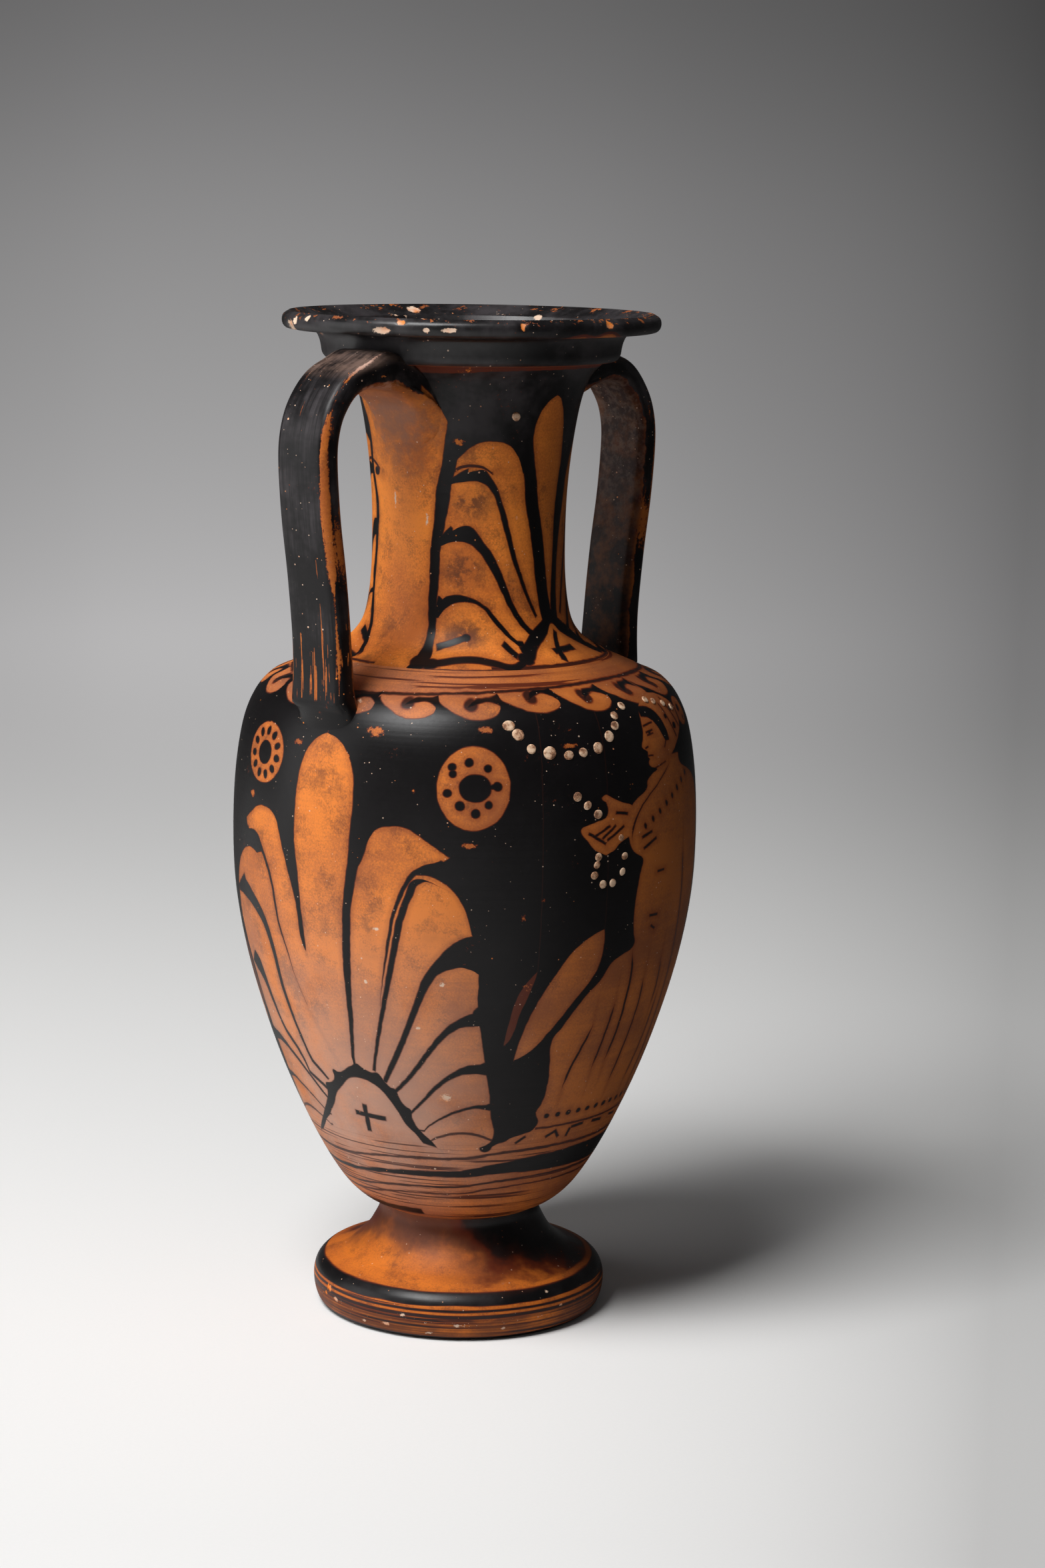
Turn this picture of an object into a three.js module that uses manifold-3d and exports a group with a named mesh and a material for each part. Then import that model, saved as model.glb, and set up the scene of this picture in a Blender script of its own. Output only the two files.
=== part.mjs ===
// Neck amphora with painted figures: foot, body, neck, mouth and two strap handles. Each piece is
// thrown on the wheel or pulled by hand by itself, and luted to the next with slip. Millimetres,
// +Z up. The origin is at the middle of the resting face. The handles stand along X, so the two
// painted sides face -Y and +Y.
import * as THREE from 'three';
import { mergeVertices } from 'three/addons/utils/BufferGeometryUtils.js';
import Module from 'manifold-3d';

const wasm = await Module();
wasm.setup();

// Joints between the pieces
const SLIP = 0.3; // the seam of dried slip that every seat, socket and root keeps
const STEM_RADIUS = 27; // where the body's base sits on the foot's stem
const SHOULDER_SEAT_RADIUS = 46; // where the neck's base sits on the shoulder
const COLLAR_SEAT_RADIUS = 43; // where the mouth's collar sits on the neck
const BORE_RADIUS = 25.5; // the neck's bore at its narrowest, down into the body
const MOUTH_BORE_RADIUS = 30.6; // the bore at the neck's top, up into the mouth
const FOOT_SPIGOT = { radius: 14, depth: 4 }; // spigot under the body, in the foot's socket
const SHOULDER_SPIGOT = { wall: 4.2, depth: 5 }; // spigot under the neck, in the shoulder's hole
const COLLAR_SPIGOT = { wall: 4.1, depth: 3.5 }; // spigot under the mouth, in the neck's rebate

const FOOT = {
  height: 35,
  edgeRadius: 48.6, // the rounded edge, at its widest
  edgeHeight: 16.2, // from the resting face to the arris of the foot's top
  arrisInset: 4.7, // how far the arris is set in from the edge
  restInset: 4, // how far the resting ring's outer side is set in from the edge
  restWidth: 9.6,
  hollowDepth: 22,
};
const BODY = {
  height: 184.2,
  bellyRadius: 76,
  wall: 5.5,
  floor: 6, // thickness of the floor, over the body's base
};
const NECK = {
  height: 94.1,
  waistRadius: 31.3,
};
const MOUTH = {
  height: 15,
  lipRadius: 60.9,
  lipHeight: 5.7,
  lipBulge: 2.3, // how far the lip's edge stands out from its flat underside
  lipWidth: 10.4, // of the lip's dished top, from its edge in to the bore
  dish: 3.4, // how far the top dips from the lip's edge to the bore
  collarRadius: 48.4,
  collarCorner: 2.2,
};
const HANDLE = {
  width: 20.5,
  thickness: 8.5,
  corner: 3,
  bow: 7.7, // how far the strap stands out past its root on the shoulder
  rootFlare: 7, // how much wider the strap is where it is pressed on
  leftCrown: 2.8, // how far the crown of each strap's arch stands over the neck's top
  rightCrown: 0.8,
  neckSink: 3, // how far the uncut strap runs into the neck, before its root is trimmed to the wall
  shoulderSink: { inward: 3, down: 6 }, // the same at the shoulder
};
// Each handle is set on by eye: its turn is from the X axis in degrees
const HANDLES = [
  { name: 'handle_left', turn: 180, crown: HANDLE.leftCrown },
  { name: 'handle_right', turn: -4, crown: HANDLE.rightCrown },
];

// How finely the curves are cut into flat faces
const ROUND_SIDES = 48;
const FOOT_STEPS = { edge: 8, top: 9, hollow: 7 };
const WALL_STEPS = { body: 24, inside: 16, neck: 16, bore: 6, dish: 5 };
const STRAP_STEPS = { along: 30, corner: 3 };

// Outlines as shares. The foot's edge: of its rounding, in to the arris, and of its height.
const FOOT_EDGE_SHARES = [[0.64, 0.1], [0.92, 0.31], [1, 0.58], [0.8, 0.81], [0.36, 0.955]];
// The foot's top: of the way from the stem out to the arris, and from the edge up to the joint
const FOOT_TOP_SHARES = [[0.79, 0.07], [0.53, 0.18], [0.25, 0.4], [0.07, 0.66], [-0.02, 0.85]];
// The hollow under the foot: of its radius and its depth
const HOLLOW_SHARES = [[0.96, 0.16], [0.78, 0.52], [0.5, 0.84], [0.24, 0.97]];
// The body's outside: of the belly's radius, and of the body's height
const BODY_SHARES = [
  [0.44, 0.018], [0.53, 0.057], [0.641, 0.134], [0.763, 0.243], [0.859, 0.351],
  [0.937, 0.463], [0.986, 0.574], [1, 0.677], [0.991, 0.785], [0.96, 0.872],
  [0.912, 0.924], [0.85, 0.955], [0.79, 0.967], [0.704, 0.983],
];
// The neck's outside: of its waist's radius, and of its height
const NECK_SHARES = [
  [1.3, 0.032], [1.19, 0.06], [1.09, 0.11], [1.035, 0.185], [1.005, 0.29], [1, 0.42],
  [1.012, 0.555], [1.05, 0.69], [1.11, 0.82], [1.17, 0.9], [1.255, 0.96],
];
// The neck's bore: of the way from the narrow bore out to the mouth's bore, and of its height
const BORE_SHARES = [[0, 0.42], [0.1, 0.62], [0.4, 0.82]];
// The collar's lower corner: of its rounding, out from the seat and up
const COLLAR_CORNER_SHARES = [[0, 0], [0.75, 0.7]];
// The collar's flare under the lip: of the way from the collar out to the lip, and of the height
// from the seat up to the lip
const FLARE_SHARES = [[0, 0.45], [0.05, 0.66], [0.16, 0.87], [0.4, 0.97]];
// The lip's rounded edge: of its rounding and of its height
const LIP_SHARES = [[0.75, 0.16], [1, 0.46], [0.8, 0.78]];
// The bore inside the mouth: of the way from the bore out to the lip's inner edge, and of the
// mouth's inner height
const THROAT_SHARES = [[0.88, 0.72], [0.6, 0.42], [0.24, 0.17]];
// The strap's arch: of the way from its root on the neck out to its bow, and from that root up to
// the crown
const ARCH_SHARES = [[0.145, 0.49], [0.44, 0.97], [0.72, 0.7]];
// The strap's run down: of the way from its root on the shoulder out to its bow, and from that
// root up to the crown
const RUN_SHARES = [
  [0.49, 0.903], [0.91, 0.829], [1, 0.745], [0.8, 0.587], [0.43, 0.42], [0.14, 0.25], [0.02, 0.12],
];
// Where the roots sit: on the neck's and on the body's outside, by the length of each outline
const NECK_ROOT_SHARE = 0.87;
const SHOULDER_ROOT_SHARE = 0.868;
// How far each root's flare reaches: of the strap's length
const NECK_FLARE_SHARE = 0.28;
const SHOULDER_FLARE_SHARE = 0.15;

// Heights of the joints
const BODY_Z = FOOT.height + SLIP;
const NECK_Z = BODY_Z + BODY.height + SLIP;
const MOUTH_Z = NECK_Z + NECK.height + SLIP;

const point = (radius, height) => new THREE.Vector2(radius, height);
const corners = (outline) => outline.map(([radius, height]) => point(radius, height));
const smooth = (points) => new THREE.SplineCurve(points);
const lerp = THREE.MathUtils.lerp;

// The points a wall's thickness inside a curve that runs up the outside of a piece
function inside(curve, wall, steps) {
  const points = [];
  for (let i = 0; i <= steps; i += 1) {
    const at = curve.getPointAt(i / steps);
    const along = curve.getTangentAt(i / steps);
    points.push(point(at.x - wall * along.y, at.y + wall * along.x));
  }
  return points;
}

// A thrown piece: its outline in radius and height, turned about Z
function thrown(outline) {
  return new THREE.LatheGeometry(outline, ROUND_SIDES).rotateX(Math.PI / 2);
}

// The closed mesh of a geometry, for cutting: one vertex a corner, and no face without area
function solid(geometry) {
  const bare = new THREE.BufferGeometry();
  bare.setAttribute('position', geometry.getAttribute('position').clone());
  bare.setIndex(geometry.getIndex());
  const merged = mergeVertices(bare);
  const index = merged.getIndex().array;
  const faces = [];
  for (let i = 0; i < index.length; i += 3) {
    const [a, b, c] = [index[i], index[i + 1], index[i + 2]];
    if (a !== b && b !== c && c !== a) faces.push(a, b, c);
  }
  return new wasm.Manifold(new wasm.Mesh({
    numProp: 3,
    vertProperties: new Float32Array(merged.getAttribute('position').array),
    triVerts: new Uint32Array(faces),
  }));
}

function geometryOf(cut) {
  const mesh = cut.getMesh();
  const geometry = new THREE.BufferGeometry();
  geometry.setAttribute('position', new THREE.BufferAttribute(mesh.vertProperties, 3));
  geometry.setIndex(new THREE.BufferAttribute(mesh.triVerts, 1));
  geometry.computeVertexNormals();
  return geometry;
}

// Foot: a resting ring round a hollow, a rounded edge, a sloping top and a short stem with a socket
const arrisRadius = FOOT.edgeRadius - FOOT.arrisInset;
const restRadius = FOOT.edgeRadius - FOOT.restInset;
const hollowRadius = restRadius - FOOT.restWidth;
const socket = { radius: FOOT_SPIGOT.radius + SLIP, floor: FOOT.height - FOOT_SPIGOT.depth - SLIP };

function footOutline() {
  const hollow = smooth([
    point(0, FOOT.hollowDepth),
    ...HOLLOW_SHARES.toReversed().map(([r, z]) => point(r * hollowRadius, z * FOOT.hollowDepth)),
    point(hollowRadius, 0),
  ]);
  const edge = smooth([
    point(restRadius, 0),
    ...FOOT_EDGE_SHARES.map(([r, z]) => point(arrisRadius + r * FOOT.arrisInset, z * FOOT.edgeHeight)),
    point(arrisRadius, FOOT.edgeHeight),
  ]);
  const top = smooth([
    point(arrisRadius, FOOT.edgeHeight),
    ...FOOT_TOP_SHARES.map(([r, z]) => (
      point(lerp(STEM_RADIUS, arrisRadius, r), lerp(FOOT.edgeHeight, FOOT.height, z))
    )),
    point(STEM_RADIUS, FOOT.height),
  ]);
  return [
    ...hollow.getSpacedPoints(FOOT_STEPS.hollow),
    ...edge.getSpacedPoints(FOOT_STEPS.edge),
    ...top.getSpacedPoints(FOOT_STEPS.top).slice(1),
    ...corners([[socket.radius, FOOT.height], [socket.radius, socket.floor], [0, socket.floor]]),
  ];
}

// Body: a spigot in the foot, a swelling wall, and a flat seat round the hole in the shoulder
const bodyCurve = smooth([
  point(STEM_RADIUS, 0),
  ...BODY_SHARES.map(([r, z]) => point(r * BODY.bellyRadius, z * BODY.height)),
  point(SHOULDER_SEAT_RADIUS, BODY.height),
]);

function bodyOutline() {
  const hole = BORE_RADIUS + SHOULDER_SPIGOT.wall + SLIP;
  const ceiling = BODY.height - BODY.wall;
  const wall = inside(bodyCurve, BODY.wall, WALL_STEPS.inside)
    .filter((at) => at.y > BODY.floor && at.y < ceiling && at.x > hole);
  return [
    ...corners([[0, -FOOT_SPIGOT.depth], [FOOT_SPIGOT.radius, -FOOT_SPIGOT.depth], [FOOT_SPIGOT.radius, 0]]),
    ...bodyCurve.getSpacedPoints(WALL_STEPS.body),
    ...corners([[hole, BODY.height], [hole, ceiling]]),
    ...wall.toReversed(),
    point(0, BODY.floor),
  ];
}

// Neck: a spigot in the shoulder, a waisted wall, and a rebate for the mouth
const neckCurve = smooth([
  point(SHOULDER_SEAT_RADIUS, 0),
  ...NECK_SHARES.map(([r, z]) => point(r * NECK.waistRadius, z * NECK.height)),
  point(COLLAR_SEAT_RADIUS, NECK.height),
]);

function neckOutline() {
  const spigot = BORE_RADIUS + SHOULDER_SPIGOT.wall;
  const rebate = MOUTH_BORE_RADIUS + COLLAR_SPIGOT.wall + SLIP;
  const ledge = NECK.height - COLLAR_SPIGOT.depth - SLIP;
  const bore = smooth([
    point(BORE_RADIUS, 0),
    ...BORE_SHARES.map(([r, z]) => point(lerp(BORE_RADIUS, MOUTH_BORE_RADIUS, r), z * NECK.height)),
    point(MOUTH_BORE_RADIUS, ledge),
  ]);
  return [
    ...corners([[BORE_RADIUS, -SHOULDER_SPIGOT.depth], [spigot, -SHOULDER_SPIGOT.depth], [spigot, 0]]),
    ...neckCurve.getSpacedPoints(WALL_STEPS.neck),
    ...corners([[rebate, NECK.height], [rebate, ledge]]),
    ...bore.getSpacedPoints(WALL_STEPS.bore).toReversed(),
    point(BORE_RADIUS, -SHOULDER_SPIGOT.depth),
  ];
}

// Mouth: a spigot in the neck, a flared collar, and an overhanging lip whose top dips to the bore
const lipBottom = MOUTH.height - MOUTH.lipHeight;
const lipCore = MOUTH.lipRadius - MOUTH.lipBulge;
const mouthCurve = smooth([
  point(COLLAR_SEAT_RADIUS, 0),
  ...COLLAR_CORNER_SHARES.map(([r, z]) => (
    point(MOUTH.collarRadius - (1 - r) * MOUTH.collarCorner, z * MOUTH.collarCorner)
  )),
  ...FLARE_SHARES.map(([r, z]) => point(lerp(MOUTH.collarRadius, lipCore, r), z * lipBottom)),
  point(lipCore, lipBottom),
  ...LIP_SHARES.map(([r, z]) => point(lipCore + r * MOUTH.lipBulge, lipBottom + z * MOUTH.lipHeight)),
  point(lipCore, MOUTH.height),
]);

function mouthOutline() {
  const spigot = MOUTH_BORE_RADIUS + COLLAR_SPIGOT.wall;
  const innerEdge = { radius: MOUTH.lipRadius - MOUTH.lipWidth, height: MOUTH.height - MOUTH.dish };
  const throatHeight = innerEdge.height + COLLAR_SPIGOT.depth;
  const throat = smooth([
    point(innerEdge.radius, innerEdge.height),
    ...THROAT_SHARES.map(([r, z]) => (
      point(lerp(MOUTH_BORE_RADIUS, innerEdge.radius, r), z * throatHeight - COLLAR_SPIGOT.depth)
    )),
    point(MOUTH_BORE_RADIUS, -COLLAR_SPIGOT.depth),
  ]);
  return [
    ...corners([[MOUTH_BORE_RADIUS, -COLLAR_SPIGOT.depth], [spigot, -COLLAR_SPIGOT.depth], [spigot, 0]]),
    ...mouthCurve.getSpacedPoints(WALL_STEPS.neck),
    ...throat.getSpacedPoints(WALL_STEPS.dish),
  ];
}

// The whole outside from the belly up, a seam of slip larger, and filled to the axis: it trims
// the handles' roots
function envelope() {
  const raised = (curve, steps, z) => inside(curve, -SLIP, steps).map((at) => point(at.x, at.y + z));
  const outline = [
    ...raised(bodyCurve, WALL_STEPS.body, BODY_Z),
    ...raised(neckCurve, WALL_STEPS.neck, NECK_Z).slice(1),
    ...raised(mouthCurve, WALL_STEPS.neck, MOUTH_Z).slice(1),
  ];
  const top = outline[outline.length - 1].y;
  return solid(thrown([point(0, outline[0].y), ...outline, point(0, top)]));
}

// The strap's centre line, in radius and height, from inside the neck's wall to inside the shoulder
function strapLine(crown) {
  const neckRoot = neckCurve.getPointAt(NECK_ROOT_SHARE).add(point(0, NECK_Z));
  const shoulderRoot = bodyCurve.getPointAt(SHOULDER_ROOT_SHARE).add(point(0, BODY_Z));
  const reach = shoulderRoot.x + HANDLE.bow;
  const crownZ = NECK_Z + NECK.height + crown - HANDLE.thickness / 2;
  return smooth([
    point(neckRoot.x - HANDLE.neckSink, neckRoot.y - HANDLE.neckSink),
    neckRoot,
    ...ARCH_SHARES.map(([r, z]) => point(lerp(neckRoot.x, reach, r), lerp(neckRoot.y, crownZ, z))),
    ...RUN_SHARES.map(([r, z]) => point(lerp(shoulderRoot.x, reach, r), lerp(shoulderRoot.y, crownZ, z))),
    shoulderRoot,
    point(shoulderRoot.x - HANDLE.shoulderSink.inward, shoulderRoot.y - HANDLE.shoulderSink.down),
  ]);
}

// The strap's section: a rectangle with round corners, x across the strap and y through it
function strapSection() {
  const [x, y] = [HANDLE.width / 2 - HANDLE.corner, HANDLE.thickness / 2 - HANDLE.corner];
  const centres = [[x, y], [-x, y], [-x, -y], [x, -y]];
  return centres.flatMap(([cx, cy], side) => (
    Array.from({ length: STRAP_STEPS.corner }, (_, i) => {
      const turn = (side + i / (STRAP_STEPS.corner - 1)) * (Math.PI / 2);
      return point(cx + HANDLE.corner * Math.cos(turn), cy + HANDLE.corner * Math.sin(turn));
    })
  ));
}

// The strap wider towards each root, as a factor of its width at a share of its length
function rootWidth(share) {
  const { smoothstep } = THREE.MathUtils;
  const flare = 1 - smoothstep(share, 0, NECK_FLARE_SHARE)
    + smoothstep(share, 1 - SHOULDER_FLARE_SHARE, 1);
  return 1 + flare * (HANDLE.rootFlare / HANDLE.width);
}

// The uncut strap: the section carried along the centre line in the X-Z plane, closed at both ends
function strap(line) {
  const section = strapSection();
  const sides = section.length;
  const positions = [];
  const faces = [];
  for (let i = 0; i <= STRAP_STEPS.along; i += 1) {
    const share = i / STRAP_STEPS.along;
    const centre = line.getPointAt(share);
    const along = line.getTangentAt(share);
    for (const at of section) {
      positions.push(centre.x - along.y * at.y, at.x * rootWidth(share), centre.y + along.x * at.y);
    }
  }
  for (let i = 0; i < STRAP_STEPS.along; i += 1) {
    for (let k = 0; k < sides; k += 1) {
      const [a, b] = [i * sides + k, i * sides + (k + 1) % sides];
      faces.push(a, b, a + sides, b, b + sides, a + sides);
    }
  }
  const last = STRAP_STEPS.along * sides;
  for (let k = 1; k < sides - 1; k += 1) {
    faces.push(0, k + 1, k, last, last + k, last + k + 1);
  }
  const geometry = new THREE.BufferGeometry();
  geometry.setAttribute('position', new THREE.Float32BufferAttribute(positions, 3));
  geometry.setIndex(faces);
  return geometry;
}

// Finishes: glossy black slip, and the reserved red clay
const blackGloss = new THREE.MeshStandardMaterial({ color: 0x17181a, roughness: 0.32, metalness: 0 });
const redClay = new THREE.MeshStandardMaterial({ color: 0xb9662b, roughness: 0.6, metalness: 0 });

const amphora = new THREE.Group();

function place(name, geometry, material, z) {
  const mesh = new THREE.Mesh(geometry, material.clone());
  mesh.name = name;
  mesh.position.z = z;
  amphora.add(mesh);
}

place('foot', thrown(footOutline()), redClay, 0);
place('body', thrown(bodyOutline()), blackGloss, BODY_Z);
place('neck', thrown(neckOutline()), redClay, NECK_Z);
place('mouth', thrown(mouthOutline()), blackGloss, MOUTH_Z);

const trim = envelope();
for (const { name, turn, crown } of HANDLES) {
  const blank = strap(strapLine(crown)).rotateZ(THREE.MathUtils.degToRad(turn));
  place(name, geometryOf(solid(blank).subtract(trim)), blackGloss, 0);
}

export default amphora;
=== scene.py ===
"""A neck amphora with painted sides: foot, body, neck, mouth, two strap handles and added white.

Each piece is turned or pulled as the potter made it, and dressed as the painter left it. Sizes are
in millimetres inside the classes and in metres in the scene. The jar's angle phi is in degrees: 0
at the middle of the painted side that faces -Y, and growing towards +X, so the left handle stands
at -90. Both painted sides carry the same ornament, 180 degrees apart.
"""

from __future__ import annotations

import logging
import math
from collections.abc import Callable, Mapping, Sequence
from dataclasses import dataclass, replace
from enum import Enum
from typing import Any

import bpy
from bpy.types import CurveMapping, Material, Node, NodeSocket, Object
from mathutils import Matrix, Vector


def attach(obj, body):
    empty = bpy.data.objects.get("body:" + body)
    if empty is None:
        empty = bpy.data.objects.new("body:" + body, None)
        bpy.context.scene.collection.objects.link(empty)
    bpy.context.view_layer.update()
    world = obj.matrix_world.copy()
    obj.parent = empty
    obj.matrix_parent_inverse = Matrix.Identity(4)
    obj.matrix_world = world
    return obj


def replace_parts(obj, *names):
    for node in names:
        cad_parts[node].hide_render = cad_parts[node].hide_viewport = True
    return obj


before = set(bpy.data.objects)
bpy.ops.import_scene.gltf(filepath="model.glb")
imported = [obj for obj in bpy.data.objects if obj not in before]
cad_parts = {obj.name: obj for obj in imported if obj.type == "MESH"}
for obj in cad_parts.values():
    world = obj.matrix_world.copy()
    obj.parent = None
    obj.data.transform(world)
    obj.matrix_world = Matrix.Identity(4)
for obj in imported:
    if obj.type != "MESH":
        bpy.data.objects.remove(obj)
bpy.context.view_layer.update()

LOG = logging.getLogger("neck_amphora")
MM = 0.001
SLIP = 0.3  # The seam of slip between two pieces, in millimetres.
BODY_Z = 35.3  # Where the body, the neck and the mouth stand, in millimetres up the jar.
NECK_Z = 219.8
MOUTH_Z = 314.2
WELD = 0.02  # How near two points lie that are one, in millimetres.
CREASE = 40.0  # From what angle on an edge stays sharp, in degrees.
NEAR = 0.004  # How far from a line's ends its direction is read, as a share of its length.

Point = tuple[float, float]
Colour = tuple[float, float, float, float]


# Outlines ---------------------------------------------------------------------------------------


class Outline:
    """A smooth line through points in radius and height, in millimetres."""

    def __init__(self, points: Sequence[Point], samples: int = 24) -> None:
        """Measures the line once.

        Args:
            points: what the line runs through, from end to end.
            samples: how many short chords stand for each stretch between two points.
        """
        self.points = [tuple(map(float, p)) for p in points]
        count = (len(self.points) - 1) * samples
        self._line = [self._through(i / count) for i in range(count + 1)]
        self._length = [0.0]
        for a, b in zip(self._line, self._line[1:]):
            self._length.append(self._length[-1] + math.dist(a, b))

    @property
    def length(self) -> float:
        """The whole line's length."""
        return self._length[-1]

    def _through(self, share: float) -> Point:
        """The point at a share of the stretches, on a uniform Catmull-Rom line."""
        last = len(self.points) - 1
        i = min(int(share * last), last - 1)
        w = share * last - i
        p = [self.points[min(max(k, 0), last)] for k in (i - 1, i, i + 1, i + 2)]

        def blend(axis: int) -> float:
            """One coordinate of the point."""
            a, b, c, d = (q[axis] for q in p)
            v0, v1 = (c - a) / 2, (d - b) / 2
            return (2 * b - 2 * c + v0 + v1) * w**3 + (3 * c - 3 * b - 2 * v0 - v1) * w**2 + v0 * w + b

        return blend(0), blend(1)

    def at(self, share: float) -> Point:
        """The point at a share of the line's length."""
        want = min(max(share, 0.0), 1.0) * self.length
        low, high = 0, len(self._length) - 1
        while high - low > 1:
            middle = (low + high) // 2
            low, high = (middle, high) if self._length[middle] <= want else (low, middle)
        span = self._length[high] - self._length[low]
        t = (want - self._length[low]) / span if span else 0.0
        (ax, ay), (bx, by) = self._line[low], self._line[high]
        return ax + (bx - ax) * t, ay + (by - ay) * t

    def spaced(self, step: float) -> list[Point]:
        """Points a step apart, or a little less, with both ends."""
        count = max(1, math.ceil(self.length / step))
        return [self.at(i / count) for i in range(count + 1)]

    def tangent(self, share: float) -> Point:
        """The line's direction at a share of its length, as a unit vector."""
        a, b = self.at(share - NEAR / 2), self.at(share + NEAR / 2)
        span = math.dist(a, b) or 1.0
        return (b[0] - a[0]) / span, (b[1] - a[1]) / span

    def inside(self, wall: float, step: float) -> list[Point]:
        """Points a wall's thickness inside a line that runs up the outside of a piece."""
        count = max(1, math.ceil(self.length / step))
        made = []
        for i in range(count + 1):
            (r, z), (tr, tz) = self.at(i / count), self.tangent(i / count)
            made.append((r - wall * tz, z + wall * tr))
        return made

    def at_height(self, height: float) -> tuple[Point, Point]:
        """The first point at a height, going up, and the line's direction there."""
        for i in range(len(self._line) - 1):
            if self._line[i][1] <= height < self._line[i + 1][1]:
                share = self._length[i] / self.length
                return self.at(share), self.tangent(share)
        return self.at(1.0), self.tangent(0.998)


def lerp(a: float, b: float, share: float) -> float:
    """The number at a share of the way from a to b."""
    return a + (b - a) * share


def ease(value: float, low: float, high: float) -> float:
    """A smooth step from 0 at low to 1 at high."""
    t = min(max((value - low) / (high - low), 0.0), 1.0)
    return t * t * (3 - 2 * t)


def lifted(points: Sequence[Point], height: float) -> list[Point]:
    """The points, raised by a height."""
    return [(r, z + height) for r, z in points]


def down_to_seam(points: Sequence[Point]) -> list[Point]:
    """The outside's points, with the seam of slip under their lower edge filled."""
    r, z = points[0]
    return [(r, z - SLIP + WELD), *points[1:]]


# Modelling by operators -------------------------------------------------------------------------


def start_fresh() -> None:
    """Leaves edit mode and deselects everything."""
    if bpy.context.mode != "OBJECT":
        bpy.ops.object.mode_set(mode="OBJECT")
    bpy.ops.object.select_all(action="DESELECT")


def named(name: str) -> Object:
    """Gives the object just made its name.

    Args:
        name: the piece's name.

    Returns:
        The object, with its mesh named the same.
    """
    obj = bpy.context.object
    obj.name = name
    obj.data.name = name
    return obj


def turned(name: str, outline: Sequence[Point], sides: int) -> Object:
    """Turns an outline about Z into a closed shell.

    Args:
        name: the piece's name.
        outline: radius and height in millimetres, from inside to outside and back.
        sides: how many faces go round.

    Returns:
        The piece, smooth, with its normals outwards.
    """
    start_fresh()
    bpy.ops.mesh.primitive_plane_add(size=MM)
    obj = named(name)
    bpy.ops.object.mode_set(mode="EDIT")
    bpy.ops.mesh.select_all(action="SELECT")
    bpy.ops.mesh.merge(type="CENTER")
    r, z = outline[0]
    bpy.ops.transform.translate(value=(r * MM, 0, z * MM))
    for (r0, z0), (r1, z1) in zip(outline, outline[1:]):
        step = ((r1 - r0) * MM, 0, (z1 - z0) * MM)
        bpy.ops.mesh.extrude_region_move(TRANSFORM_OT_translate={"value": step})
    bpy.ops.mesh.select_all(action="SELECT")
    bpy.ops.mesh.spin(steps=sides, angle=2 * math.pi, center=(0, 0, 0), axis=(0, 0, 1))
    bpy.ops.mesh.select_all(action="SELECT")
    bpy.ops.mesh.remove_doubles(threshold=WELD * MM)
    bpy.ops.mesh.normals_make_consistent(inside=False)
    bpy.ops.object.mode_set(mode="OBJECT")
    bpy.ops.object.shade_smooth_by_angle(angle=math.radians(CREASE))
    return obj


def settle(obj: Object) -> None:
    """Puts the object's place, turn and scale into its mesh."""
    start_fresh()
    obj.select_set(True)
    bpy.context.view_layer.objects.active = obj
    bpy.ops.object.transform_apply(location=True, rotation=True, scale=True)


def lay_out(obj: Object, outline: Sequence[Point], front: int, share: float) -> None:
    """Gives a turned piece its own map: round the jar across, and along the outline upwards.

    Args:
        obj: the turned piece.
        outline: the outline that it was turned from.
        front: how many of the outline's points lie on the shown outside.
        share: how much of the map's height the outside takes.
    """
    rest = len(outline) - front
    spread = [share * i / (front - 1) for i in range(front)]
    spread += [share + (1 - share) * (i + 1) / rest for i in range(rest)]
    place = {(round(r, 1), round(z, 1)): i for i, (r, z) in enumerate(outline)}
    mesh = obj.data
    layer = mesh.uv_layers.new(name="OFBake")
    mesh.uv_layers.active = layer
    layer.active_render = True
    keys = []
    for v in mesh.vertices:
        r, z = math.hypot(v.co.x, v.co.y) / MM, v.co.z / MM
        near = [place.get((round(r + dr, 1), round(z + dz, 1)))
                for dr in (0, -0.1, 0.1) for dz in (0, -0.1, 0.1)]
        keys.append(next((k for k in near if k is not None), 0))
    for face in mesh.polygons:
        middle = math.atan2(face.center.y, face.center.x)
        index = [keys[mesh.loops[k].vertex_index] for k in face.loop_indices]
        closing = max(index) - min(index) > len(outline) / 2
        for k, i in zip(face.loop_indices, index):
            co = mesh.vertices[mesh.loops[k].vertex_index].co
            angle = math.atan2(co.y, co.x) if co.xy.length > 0.05 * MM else middle
            turn = round((middle - angle) / (2 * math.pi))
            u = (angle + turn * 2 * math.pi) / (2 * math.pi) + 0.5
            v = spread[-1] if closing and i < len(outline) / 2 else spread[i]
            layer.data[k].uv = (min(max(u, 0.0), 1.0), v)


# Shader maths -----------------------------------------------------------------------------------


def srgb(red: float, green: float, blue: float) -> Colour:
    """A colour as a screen shows it, 0 to 255, as the linear numbers that a shader takes."""

    def linear(value: float) -> float:
        """One channel."""
        c = value / 255
        return c / 12.92 if c <= 0.04045 else ((c + 0.055) / 1.055) ** 2.4

    return linear(red), linear(green), linear(blue), 1.0


def operator(operation: str, swapped: bool = False) -> Callable[[Value, Number], Value]:
    """A method for Value that lays one Math node.

    Args:
        operation: the node's operation.
        swapped: whether the other term comes first.

    Returns:
        The method.
    """

    def lay(self: Value, other: Number) -> Value:
        """The node's output."""
        terms = (other, self) if swapped else (self, other)
        return self.bench.maths(operation, *terms)

    return lay


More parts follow.
